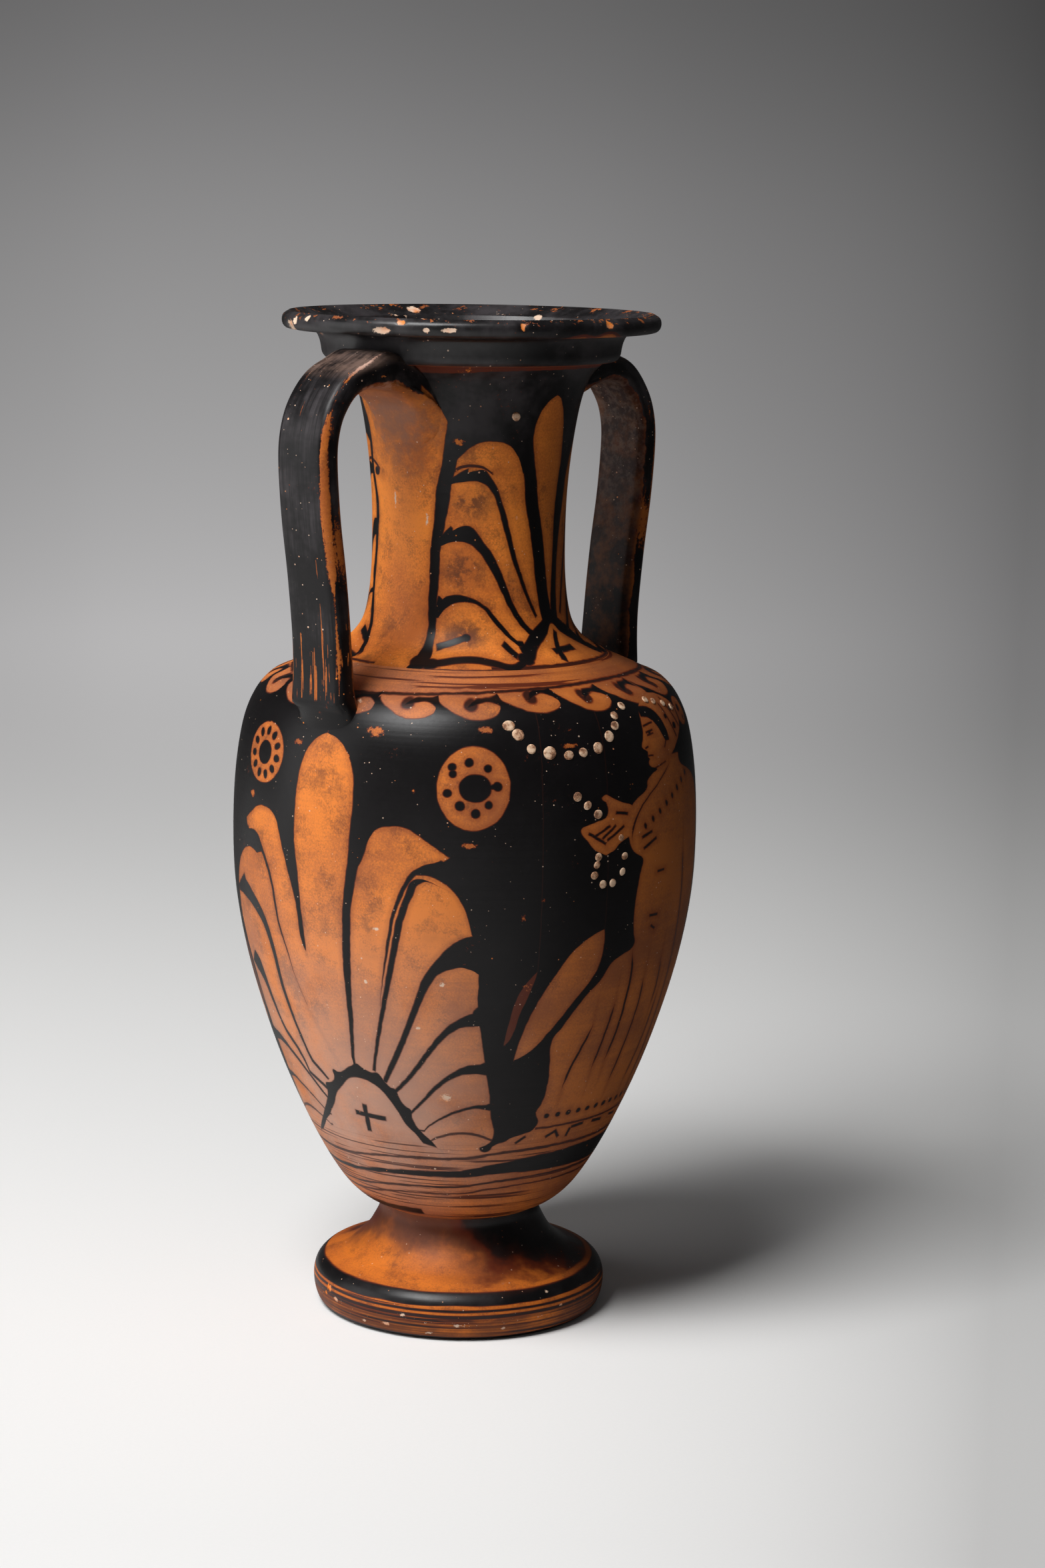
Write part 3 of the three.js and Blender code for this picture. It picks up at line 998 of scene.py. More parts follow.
        spikes = bench.curve(fan.turn, (
            (-80, 1.7), (-62, 2.2), (-56, 3.4), (-50, 2.1), (-36, 2.0), (-31, 3.8), (-26, 2.1),
            (-4, 2.2), (3, 3.4),
            (9, 2.4), (18, 2.1), (24, 3.3), (33, 2.2), (40, 2.2), (45, 3.2), (52, 2.1), (64, 2.0),
            (71, 3.0),
            (80, 1.9), (100, 1.7), (106, 2.4), (109, 2.6)))
        art.cover(
            art.both(ring + spikes - fan.reach, fan.reach - ring + 1.8, (110.0 - fan.open) * 0.3),
            art.mark((-86.7, 76.0), (-75.1, 75.4), 0.85, 55.9),
            art.mark((-82.2, 79.6), (-82.9, 69.7), 0.85, 55.9),
        )

    @staticmethod
    def _roundels(art: Painting) -> None:
        """The two roundels of each side, with their ringed drops."""
        here, bench = art.here, art.bench
        art.reserve(art.oval(-48.0, 187.0, 11.4, 12.9), art.oval(70.5, 191.4, 10.8, 9.6))
        art.cover(art.oval(-47.6, 187.2, 5.1, 4.3), art.mark((-45.5, 187.6), (-42.0, 187.7), 0.8, 74.0))
        for phi, height, wide in (
            (-49.1, 195.0, 1.4), (-44.6, 193.2, 1.3), (-42.3, 187.7, 1.5), (-44.4, 182.1, 1.3),
            (-47.5, 179.5, 1.5), (-51.2, 181.8, 1.6), (-54.2, 185.6, 1.4), (-53.2, 193.6, 1.35),
            (-53.0, 191.5, 1.2),
        ):
            art.cover(art.oval(phi, height, wide, wide * 0.95))
        across = here.right_of(70.5)
        up = (here.height - 191.4) * 1.1
        ring = bench.length(across, up)
        step = 2 * math.pi / 11
        around = bench.maths("ARCTAN2", across, up).math("WRAP", step / 2, -step / 2) * ring
        art.cover(1.25 - bench.length(around, (ring - 7.6) * 0.8), 4.1 - ring)

    def _figure(self, art: Painting) -> None:
        """The robed figure, its wreath-bearing hand, head, leaves, folds and hem."""
        here, bench = art.here, art.bench
        side, level, degree = here.side, here.height, here.degree
        front = bench.curve(level, (
            (66, -34), (68.7, -33.9), (71.7, -25.4), (74.6, -23.7), (78.5, -25.2), (81.4, -24.1),
            (87.4, -23.4),
            (95.8, -24), (104.3, -24.7), (108.9, -22.2), (114.8, -19), (120.4, -15.3), (122.8, -13),
            (129, -9.7),
            (133.4, -2.8), (137.7, -3.7), (144.4, -4.3), (152.6, -3.7), (157.6, -2.8), (161.5, -2.2),
            (162.5, -3.4),
            (165, -6), (179, -6), (180.6, -4.4), (183.6, -0.1), (185.7, 0.1), (189, 5.7), (190.5, 8.6),
            (193, 10)))
        back = bench.curve(level, (
            (66, 35), (74, 35.5), (90, 34), (105, 32.5), (120, 31), (133, 29.5), (150, 31), (165, 32),
            (176, 31.5),
            (182, 28), (186, 22), (189, 17), (193, 17)))
        robe = art.both(here.right_of(front), here.left_of(back), level - 66.0, 192.0 - level)
        hand_left = bench.curve(level, (
            (163.6, -13), (164.5, -14.4), (166, -17.2), (169.2, -19.5), (173.3, -21.4), (175, -18),
            (176.3, -14.4),
            (180.9, -14.2), (182.4, -15.6), (183.4, -14.6), (184, -12)))
        hand_right = bench.curve(level, (
            (163.6, -15.4), (164.5, -14.2), (165.3, -12.3), (167.9, -9.8), (168.6, -8.5), (171, -4),
            (178, -5),
            (181.4, -11.2), (183, -13.4), (184, -15)))
        hand = art.both(here.right_of(hand_left), here.left_of(hand_right))
        art.reserve(robe, hand, *self._head(art))
        self._face(art)
        self._leaves(art)
        for places, half in (
            (((130.4, -2.9), (124, -1.8), (115, -1.7), (104.8, -2), (94.7, -3.5)), 0.42),
            (((113.6, -5.8), (103, -6.8), (92.7, -8.3)), 0.34),
            (((107.4, -12.2), (101.3, -14.1), (93.6, -16.6), (87.2, -17.9)), 0.4),
            (((125.3, 11.7), (118.3, 12.8), (110.3, 12.9)), 0.3),
            (((120, 4.5), (108, 4.8), (96, 3.6), (86, 2.2)), 0.3),
            (((160, 17.5), (140, 18.5), (118, 20), (96, 20.5), (82, 19.5)), 0.32),
            (((112, 15.5), (98, 15), (84, 12.5)), 0.3),
            (((168.8, -6.1), (172.4, -5.5), (176.3, -3.7), (180.4, -0.2), (184.7, 5.1),
            (189.5, 10.7)), 0.34),
        ):
            art.cover(art.fold(places, half))
        for first, second, half in (
            ((-19.4, 171.8), (-14.4, 168.0), 0.42), ((-17.7, 170.5), (-13.2, 173.5), 0.36),
            ((-15.5, 169.7), (-11.5, 173.4), 0.36), ((-14.0, 169.0), (-8.8, 172.9), 0.36),
            ((-11.4, 177.4), (-7.6, 176.6), 0.45), ((-1.9, 164.5), (3.0, 167.1), 0.42),
            ((-2.5, 168.2), (1.3, 169.6), 0.42), ((3.9, 156.2), (6.9, 156.1), 0.34),
            ((1.8, 142.1), (5.4, 141.8), 0.4), ((3.0, 138.5), (4.8, 137.2), 0.36),
            ((-30.5, 67.6), (-27.0, 69.8), 0.45), ((-19.0, 68.6), (-15.5, 70.4), 0.5),
            ((-15.8, 70.8), (-13.4, 68.0), 0.45), ((-8.6, 70.8), (-3.0, 71.2), 0.5),
            ((-9.0, 70.6), (-9.6, 67.6), 0.5), ((2.0, 70.9), (8.0, 70.4), 0.5), ((14.0, 70.6),
            (19.0, 70.0), 0.45),
        ):
            art.cover(art.mark(first, second, half, 74.5 if first[1] > 100 else 54.0))
        hem = (side + 21.0).math("WRAP", 2.15, -2.15) * degree
        drops = (1 - bench.length(hem / 0.95, (level - 76.8) / 0.85)) * 0.85
        art.cover(
            art.beads((-1.3, 171.6), (24.0, 187.3), 74.5, 4.4, 0.62, 1.0),
            art.both(drops, (side + 22.5) * degree, here.left_of(33.0)),
            art.both(0.3 - abs(level - 72.4), (side + 24.0) * degree, here.left_of(34.0), 0.08),
        )

    @staticmethod
    def _head(art: Painting) -> tuple[Value, Value]:
        """The head in profile, by plain proportions, with hair bound in a cloth.

        Args:
            art: the painting.

        Returns:
            The depth inside the head, and inside the knot of cloth behind it.
        """
        here, bench = art.here, art.bench
        level = here.height
        front = bench.curve(level, (
            (185.4, 0.2), (186.6, 2.6), (187.8, 4.3), (188.7, 4.6), (189.3, 3.4), (190.0, 1.9),
            (191.0, 1.3),
            (191.9, 1.6), (192.5, 2.0), (193.0, 1.3), (193.6, 1.6), (194.2, 1.1), (194.8, 1.4),
            (195.4, 0.2),
            (196.0, -0.5), (196.8, -0.4), (199.0, 0.5), (201.0, 1.2), (204.0, 1.7), (206.5, 2.4),
            (208.6, 4.0),
            (210.2, 7.4), (211.2, 12.0)))
        back = bench.curve(level, (
            (185.4, 14.0), (187.6, 11.6), (190.0, 11.2), (191.6, 12.4), (194.0, 15.6), (197.0, 19.6),
            (200.0, 22.4),
            (203.5, 23.6), (206.5, 22.6), (208.8, 19.6), (210.4, 16.0), (211.2, 12.4)))
        return (
            art.both(here.right_of(front), here.left_of(back), level - 185.0),
            art.oval(27.4, 203.3, 5.4, 4.5),
        )

    @staticmethod
    def _face(art: Painting) -> None:
        """The head's lines: eye, brow, lips and ear, the hair on the brow, and the cloth's pattern."""
        here, bench = art.here, art.bench
        side, level = here.side, here.height
        hair = bench.curve(side, ((1.0, 205.0), (3.4, 205.0), (6.0, 204.0), (8.2, 201.6), (9.6, 198.4),
            (10.6, 196.6)))
        cloth = bench.curve(side, ((1.0, 208.4), (4.0, 208.2), (7.0, 207.6), (10.0, 205.4),
            (12.0, 201.4), (13.0, 196.6)))
        art.cover(art.both(level - hair, cloth - level, here.right_of(2.4), here.left_of(12.6)))
        for first, second, half in (
            ((2.3, 200.3), (5.4, 200.9), 0.28), ((2.6, 199.4), (5.3, 199.8), 0.2), ((1.9, 202.4),
            (6.2, 203.1), 0.24),
            ((1.5, 193.3), (3.6, 193.1), 0.2), ((0.8, 195.6), (2.0, 196.1), 0.2), ((9.6, 194.8),
            (11.0, 197.2), 0.22),
            ((13.8, 207.6), (17.6, 196.8), 0.26), ((16.6, 209.0), (21.4, 199.4), 0.26), ((23.2, 199.6),
            (23.6, 206.8), 0.34),
            ((3.6, 189.0), (9.0, 190.4), 0.16),
        ):
            art.cover(art.mark(first, second, half, 72.0))
        art.cover(
            art.oval(3.8, 200.1, 0.62, 0.55), art.oval(26.6, 204.2, 1.5, 1.1),
                art.oval(18.0, 200.2, 1.3, 1.0),
            art.oval(14.4, 203.6, 0.9, 0.8), art.oval(19.6, 205.4, 1.1, 0.9),
                art.oval(28.6, 200.9, 0.8, 0.7))

    @staticmethod
    def _leaves(art: Painting) -> None:
        """The two leaves on each hand of the figure."""
        here, bench = art.here, art.bench
        off = abs(here.side - 9.0)
        level = here.height
        leaves = []
        for outer, inner in (
            (((98.3, 44.2), (105, 43.2), (115, 40.5), (127, 35.3), (136, 29.7), (140.6, 22.6)),
             ((98.3, 44.2), (101.1, 39.9), (107.7, 35), (118.2, 28.6), (126.5, 23.7), (135, 22.3),
             (140.6, 22.8))),
            (((104, 47.4), (113, 46.3), (122, 44.2), (128.6, 40.2)),
             ((104, 47.2), (107, 45.6), (115, 43.9), (122, 41.7), (128.6, 40.4))),
        ):
            leaves.append(art.both(
                (bench.curve(level, outer) - off) * here.degree,
                (off - bench.curve(level, inner)) * here.degree,
                (level - outer[0][0]) * 0.5))
        art.reserve(leaves[0])
        art.thin(0.02, leaves[1])

    @staticmethod
    def _foot_zone(art: Painting) -> None:
        """The bare zone over the foot, with its dark band, brushed lines and a run of slip."""
        here, bench = art.here, art.bench
        level, angle = here.height, here.phi
        middle = bench.curve(angle, (
            (-180, 56), (-104, 53), (-75, 55.5), (-48, 56.5), (-36, 58), (0, 59), (40, 58), (90, 56),
            (180, 56)))
        half = bench.curve(angle, (
            (-180, 1.5), (-130, 0.8), (-104, 0.7), (-75, 0.9), (-48, 1.4), (-20, 3), (10, 4), (60, 3.2),
            (120, 2),
            (180, 1.5)))
        ragged = here.stretched(0.06, 1.3, 2.0) - 0.5
        lines = here.stretched(0.016, 1.1, 3.0, 7.0)
        brushed = art.both((lines - 0.6) * 9.0, (67.0 - level) * 0.5, 0.06)
        top_lines = art.both((lines - 0.61) * 9.0, level - 215.4, 0.02)
        groove = bench.curve(here.side, ((-90, 212.9), (-60, 213.9), (-22, 215.2), (0, 215.7),
            (20, 215.6), (90, 212.9)))
        art.cover(
            half + ragged * 1.2 - abs(level - middle), brushed, top_lines,
            art.both(0.35 + ragged - abs(level - middle + 5.2), 0.12),
            art.both(0.3 + ragged - abs(level - middle + 8.0), 0.08),
            art.both(0.45 + ragged - abs(level - middle - 6.0), 0.1),
            art.both(0.3 - abs(level - groove), 0.14),
            art.both(1.5 - abs(level - 38.9) + ragged, (-70.5 - angle) * here.degree, (angle + 136.0) * 0.5),
            art.oval(-50.0, 56.8, 1.3, 0.5, angle), art.oval(-47.6, 56.9, 0.7, 0.45, angle),
        )

    def _fire(self, art: Painting) -> Material:
        """Sets where the body is rubbed, browned in blotches and flaked, browns one side with painted shade,
        lays a pale veil of dirt and painted reflection, and fires it.
        """
        here, bench = art.here, art.bench
        art.clear_inside(Body().outside(), 400.0)
        smears = art.splashes((
            (-73.1, 203.0, 5.6, 2.8), (-45.1, 204.7, 4.6, 2.0), (-23.5, 199.2, 5.4, 1.5),
            (-48.8, 169.4, 4.6, 1.8),
            (-35.7, 146.3, 1.8, 2.4), (-31.0, 152.0, 1.6, 2.6), (-62.4, 186.0, 1.6, 2.6),
            (64.0, 186.0, 3.4, 1.4), (118.0, 203.0, 4.2, 1.5),
            (-113.7, 177.5, 3.0, 2.4), (-96.0, 197.0, 3.6, 2.0),
            (150.0, 96.0, 2.6, 3.0)), upright=True, along=here.phi)
        flakes = art.splashes((
            (-54.6, 85.1, 3.4, 2.4), (-55.0, 124.5, 1.6, 1.3), (-71.2, 141.7, 1.8, 1.2),
            (-67.7, 151.8, 1.2, 1.0),
            (-74.9, 123.7, 1.3, 1.0), (-61.4, 109.4, 1.4, 0.9), (-81.0, 211.0, 1.6, 0.8),
            (96.0, 118.0, 2.0, 1.3)), 0.8, along=here.phi)
        soot = bench.noise(here.place, 0.028, 4.0, 0.65)
        low = bench.curve(here.level, ((36, 0.1), (60, 0.14), (95, 0.16), (140, 0.08), (165, 0.0),
            (210, 0.0), (219, 0.04)))
        # Sooty blotches, and by the curve by angle a browning of all but -150 to -70 degrees, most from -10
        # to 40: painted shade.
        scorch_and_shade = bench.most(bench.step(soot + low, 0.58, 0.98) * 0.65, bench.curve(here.angle, (
            (-180, 0.1), (-150, 0), (-70, 0), (-40, 0.22), (-10, 0.36), (40, 0.36), (90, 0.1), (180, 0.1))))
        scuffs = art.splashes((
            (-110.0, 200.0, 12.0, 8.0), (-118.0, 184.0, 9.0, 9.0), (-64.0, 186.0, 5.0, 14.0),
            (140.0, 188.0, 14.0, 9.0),
            (-32.0, 148.0, 6.0, 16.0), (24.0, 80.0, 12.0, 7.0)), 0.42, upright=True, along=here.phi)
        # A pale veil low on the body and faintly up the shoulder, on bare clay, strongest from -140 to -64
        # degrees: partly dirt, partly painted reflection of the floor and painted highlight.
        film_and_sheen = bench.curve(here.level, (
            (36, 0.08), (46, 0.26), (62, 0.58), (85, 0.54), (108, 0.36), (128, 0.2), (150, 0.06),
            (175, 0.0), (204, 0.02),
            (209, 0.06), (219, 0.13)))
        film_and_sheen = film_and_sheen * bench.curve(here.angle, (
            (-180, 0.3), (-140, 0.8), (-120, 1), (-64, 0.96), (-40, 0.4), (-26, 0.16), (-8, 0.05),
            (60, 0), (120, 0.2), (180, 0.3)))
        film_and_sheen = film_and_sheen * bench.step(-art.depth, -0.4, 0.4) * bench.step(soot + here.level * 0.0004, 0.22, 0.62)
        # Little painted sheen on the body's black.
        return self.fired.dress(art, scorch_and_shade, bench.most(smears, scuffs), 0.05, flakes, film_and_sheen, 0.22)


# A brighter copy of the clay for the neck and the handles: painted light.
NECK_CLAY_LIT = Fired(clay=srgb(238, 138, 52), clay_dull=srgb(196, 106, 44))


@dataclass(frozen=True)
class NeckPaint:
    """The neck's picture: a half palmette on each side, under the black of the mouth."""

    fired: Fired = NECK_CLAY_LIT
    core: Point = (3.0, 224.0)

    def material(self) -> Material:
        """Paints the neck.

        Returns:
            The finish.
        """
        bench = Bench("neck_paint")
        here = Surface(bench)
        left = bench.curve(here.level, (
            (219.6, -71.4), (222.4, -69.6), (228.1, -69.7), (237.9, -70.6), (246.5, -69.9), (255.9, -69.4),
            (263.8, -67.3), (270.1, -65.7), (276.3, -64.4), (282.6, -61.5), (289, -59.8), (296, -58)))
        right = bench.curve(here.level, (
            (222, 76), (229, 66), (242, 58), (257, 60), (268, 61.5), (280, 57), (292, 58), (301, 52)))
        base = bench.curve(here.side, (
            (-90, 222.6), (-22.3, 222.7), (-13.7, 226.5), (-3, 230.4), (3, 233.4), (9, 230.4),
            (19.7, 226.5),
            (28.3, 222.7), (90, 222.6)))
        art = Painting(here, self._ground(here, left, right, base))
        self._petals(art, left, right)
        self._lines(art, left, right, base)
        art.clear_inside(Neck().outside(), 288.0)
        return self._fire(art)

    @staticmethod
    def top(here: Surface) -> Value:
        """The depth inside the black of the neck's top, which slopes up to the handles' roots."""
        edge = here.bench.curve(here.side, (
            (-90, 316), (-80, 314), (-75, 310.6), (-69.2, 304.8), (-64.6, 299.8), (-59.6, 293.6),
            (-57, 288.4), (-54, 286),
            (44, 286), (50, 296), (55, 303.4), (64, 308), (74, 313), (80, 315), (90, 317)))
        return (here.height - edge) * 0.7

    @staticmethod
    def root_shade(here: Surface) -> tuple[Value, Value]:
        """The painted shade under a handle's root: how far it browns the clay, and how far it greys it."""
        bench = here.bench
        root = abs(abs(here.angle) - 92.0) * here.degree
        shade = 1 - bench.length(root / 22.0, (here.level - 305.0) / 32.0)
        brush = bench.noise(here.place, 0.3, 3.0, 0.6) - 0.5
        return bench.step(shade + brush * 1.2, -0.2, 0.9) * 0.8, bench.step(shade + brush, 0.1, 0.9) * 0.16

    def _ground(self, here: Surface, left: Value, right: Value, base: Value) -> Value:
        """The black of the neck's top, and what lies between its two upright lines."""
        between = here.bench.least(
            here.right_of(left), here.left_of(right), here.level - base)
        return here.bench.most(self.top(here), between)

    def _petals(self, art: Painting, left: Value, right: Value) -> None:
        """The upright petal, and the fan of petals on each side of it."""
        here, bench = art.here, art.bench
        one = bench.curve(here.height, (
            (237, 4.6), (240, 3.5), (249, 1.7), (258.9, -1.0), (269.7, -5.8), (279.6, -9.2), (287.3, -12.6),
            (293.2, -13.6), (298.0, -11.6), (301.6, -8.2), (303.6, -4.6), (304.5, -1.6)))
        two = bench.curve(here.height, (
            (237, 4.9), (240.9, 6.1), (252.8, 9.0), (264.8, 9.8), (275.8, 11.5), (283.7, 12.6),
            (291.9, 10.8),
            (298.6, 7.4), (302.2, 3.8), (304.0, 0.8), (304.5, -1.4)))
        fan = Palmette(art, self.core[1], self.core[0])
        art.reserve(
            art.both(here.right_of(one), here.left_of(two), 304.5 - here.height),
            art.both(
                fan.beyond(bench.curve(fan.reach, (
                    (9, 26), (15, 18.4), (26, 13.2), (37, 12), (47, 12.4), (57, 12.0), (64, 13.4),
                    (70, 17)))),
                fan.under(((12.3, 57), (13.8, 64), (16.1, 68), (19.2, 70.2), (22.3, 71.4), (25.5, 71.2),
                    (28.4, 70), (33, 67.6))),
                here.right_of(left) - 1.6, here.left_of(right) - 1.1))
        field = art.both(here.right_of(left), here.left_of(right))
        for stroke in (
            fan.stroke(
                bench.curve(fan.reach, (
                    (12, 32.6), (22, 27.9), (32, 25.5), (42, 23.4), (50, 22.6), (57, 23.3), (61, 25.7),
                    (63, 28.8), (64, 33.1))),
                ((12, 0.5), (30, 0.75), (44, 0.95), (56, 1.1), (60, 2.0), (63, 4.6),
                (65, 6.0)), 12.0, 65.2),
            fan.stroke(
                bench.curve(fan.reach, ((12, 61.5), (21, 48), (29, 40.1), (36, 37.5), (42, 37.3),
                    (47, 39.1), (50, 43.4), (50.8, 48))),
                ((12, 1.0), (24, 1.2), (36, 1.55), (44, 1.9), (49, 4.2), (51.6, 6.0)), 10.0, 52.4),
            fan.stroke(
                bench.curve(fan.reach, ((17, 82), (20, 73.2), (24, 65.7), (29, 60.5), (34, 61.5),
                    (39, 66.7), (41, 71.2))),
                ((17, 0.9), (24, 0.95), (29, 0.55), (34, 0.9), (39, 2.2), (42, 3.6)), 15.0, 42.6),
        ):
            art.cover(art.both(stroke, field))
        art.cover(
            art.mark((-65.0, 225.4), (-51.0, 228.4), 1.0, 37.0), art.oval(-50.6, 228.4, 1.5, 1.2),
            art.mark((-31.7, 226.8), (-26.5, 222.8), 1.0, 39.0), art.mark((70.0, 225.6),
                (57.0, 228.2), 1.0, 37.0))
        art.cover(art.both(
            0.45 - abs(fan.reach - bench.curve(fan.open, ((22, 60.5), (26, 65.2), (30, 66.6), (34, 66.4)))),
            (fan.open - 22.0) * 0.4, (33.0 - fan.open) * 0.4, 0.1))

    @staticmethod
    def _lines(art: Painting, left: Value, right: Value, base: Value) -> None:
        """The upright lines, the sloping sides of the core, its cross, and the line under the fan."""
        here, bench = art.here, art.bench
        thick = bench.curve(here.level, ((220, 2.6), (223, 2.2), (227, 1.3), (240, 1.3), (256, 1.7),
            (268, 2.1), (284, 2.4)))
        swing = here.stretched(0.02, 0.22, 2.0, 11.0) - 0.5
        low = bench.curve(here.side, (
            (-69, 220.4), (-60.4, 221.5), (-54.4, 222.2), (-46, 222.3), (-38, 221.3), (-30.7, 220.1),
            (-26, 221.2),
            (-22.6, 222.4), (28.6, 222.4), (34, 221), (46, 222.2), (62, 221.6), (75, 220.6)))
        lean = art.both(
            1.9 - abs(here.level - base - 0.6) * 0.78, (26.5 - abs(here.side - 3.0)) * here.degree)
        art.cover(
            art.both(
                thick + swing - abs(here.side - left) * here.degree,
                (here.level - 219.0) * 0.5, 297.0 - here.level),
            art.both(
                1.1 + swing - abs(here.side - right) * here.degree,
                (here.level - 221.6) * 0.3, 302.0 - here.level),
            art.oval(-70.4, 221.4, 3.0, 1.9),
                art.oval(-65.4, 221.0, 3.2, 1.4), lean, art.oval(-23.4, 222.2, 2.7, 1.7),
            art.oval(29.4, 222.2, 2.4, 1.6),
            art.both(
                0.85 + swing - abs(here.level - low), (abs(here.side - 3.0) - 25.0) * here.degree, 0.35,
                (73.0 - abs(here.side - 2.0)) * here.degree),
            art.mark((4.2, 229.2), (-4.6, 221.0), 0.9, 38.0), art.mark((-5.4, 223.6),
                (10.4, 224.0), 0.75, 40.0),
            art.oval(64.0, 279.0, 1.7, 1.3), art.oval(57.0, 246.0, 1.4, 2.6))
        for height, first, second in ((219.4, -72.0, 60.0), (220.1, -40.0, 90.0), (218.7, -90.0, 20.0)):
            art.cover(art.both(
                0.24 + swing * 0.8 - abs(here.height - height), here.right_of(first),
                here.left_of(second), 0.1))

    def _fire(self, art: Painting) -> Material:
        """Paints shade under the handles' roots and on one side, browns the clay in patches, leaves the line
        under the collar, and fires it.
        """
        here, bench = art.here, art.bench
        collar = bench.curve(here.side, ((-90, 312.2), (-60, 311.9), (-40, 312.6), (0, 312.9), (90, 312.4)))
        art.thin(0.0, (here.height - collar) * 1.4)
        # Painted shade under the handles' roots.
        root_shade, dust_and_painted_light = self.root_shade(here)
        soot = bench.noise(here.place, 0.05, 4.0, 0.65)
        speckle = bench.noise(here.place, 0.9, 3.0, 0.8)
        burnt = art.splashes((
            (-48.8, 271.5, 11.0, 10.0), (-53.0, 249.0, 11.0, 10.0), (-22.0, 244.0, 6.0, 12.0),
            (-50.9, 229.5, 12.0, 6.5),
            (30.0, 262.0, 9.0, 10.0), (40.0, 236.0, 11.0, 8.0)))
        gilt = bench.step(bench.noise(here.place, 0.13, 6.0, 0.75), 0.44, 0.58)
        scorch_and_shade = bench.most(
            root_shade,
            bench.step(burnt + (speckle - 0.5) * 0.8, 0.0, 0.8) * (0.85 - gilt * 0.65),
            bench.step(soot + (speckle - 0.5) * 0.5, 0.46, 0.9) * (0.6 - gilt * 0.5))
        flakes = art.splashes((
            (-21.2, 265.8, 0.8, 1.0), (-97.8, 271.0, 0.9, 5.0), (-75.0, 265.0, 0.9, 3.6),
            (120.0, 250.0, 1.0, 2.0)), 0.7, along=here.phi)
        rubbed = art.oval(-56.0, 290.0, 3.4, 2.4) / 2.4
        # The curve by angle browns all but -150 to -20 degrees, most near 24: painted shade.
        scorch_and_shade = bench.most(scorch_and_shade, bench.curve(here.angle, ((-180, 0.2), (-150, 0), (-20, 0),
            (24, 0.42), (90, 0.3), (180, 0.2))))
        # Painted sheen on the black, partly dulled gloss, growing up towards the mouth.
        worn_gloss_and_sheen = bench.curve(here.level, ((222, 0.05), (280, 0.15), (296, 0.7), (313, 1.0)))
        return self.fired.dress(art, scorch_and_shade, rubbed * 0.9, worn_gloss_and_sheen, flakes, dust_and_painted_light, 0.22)


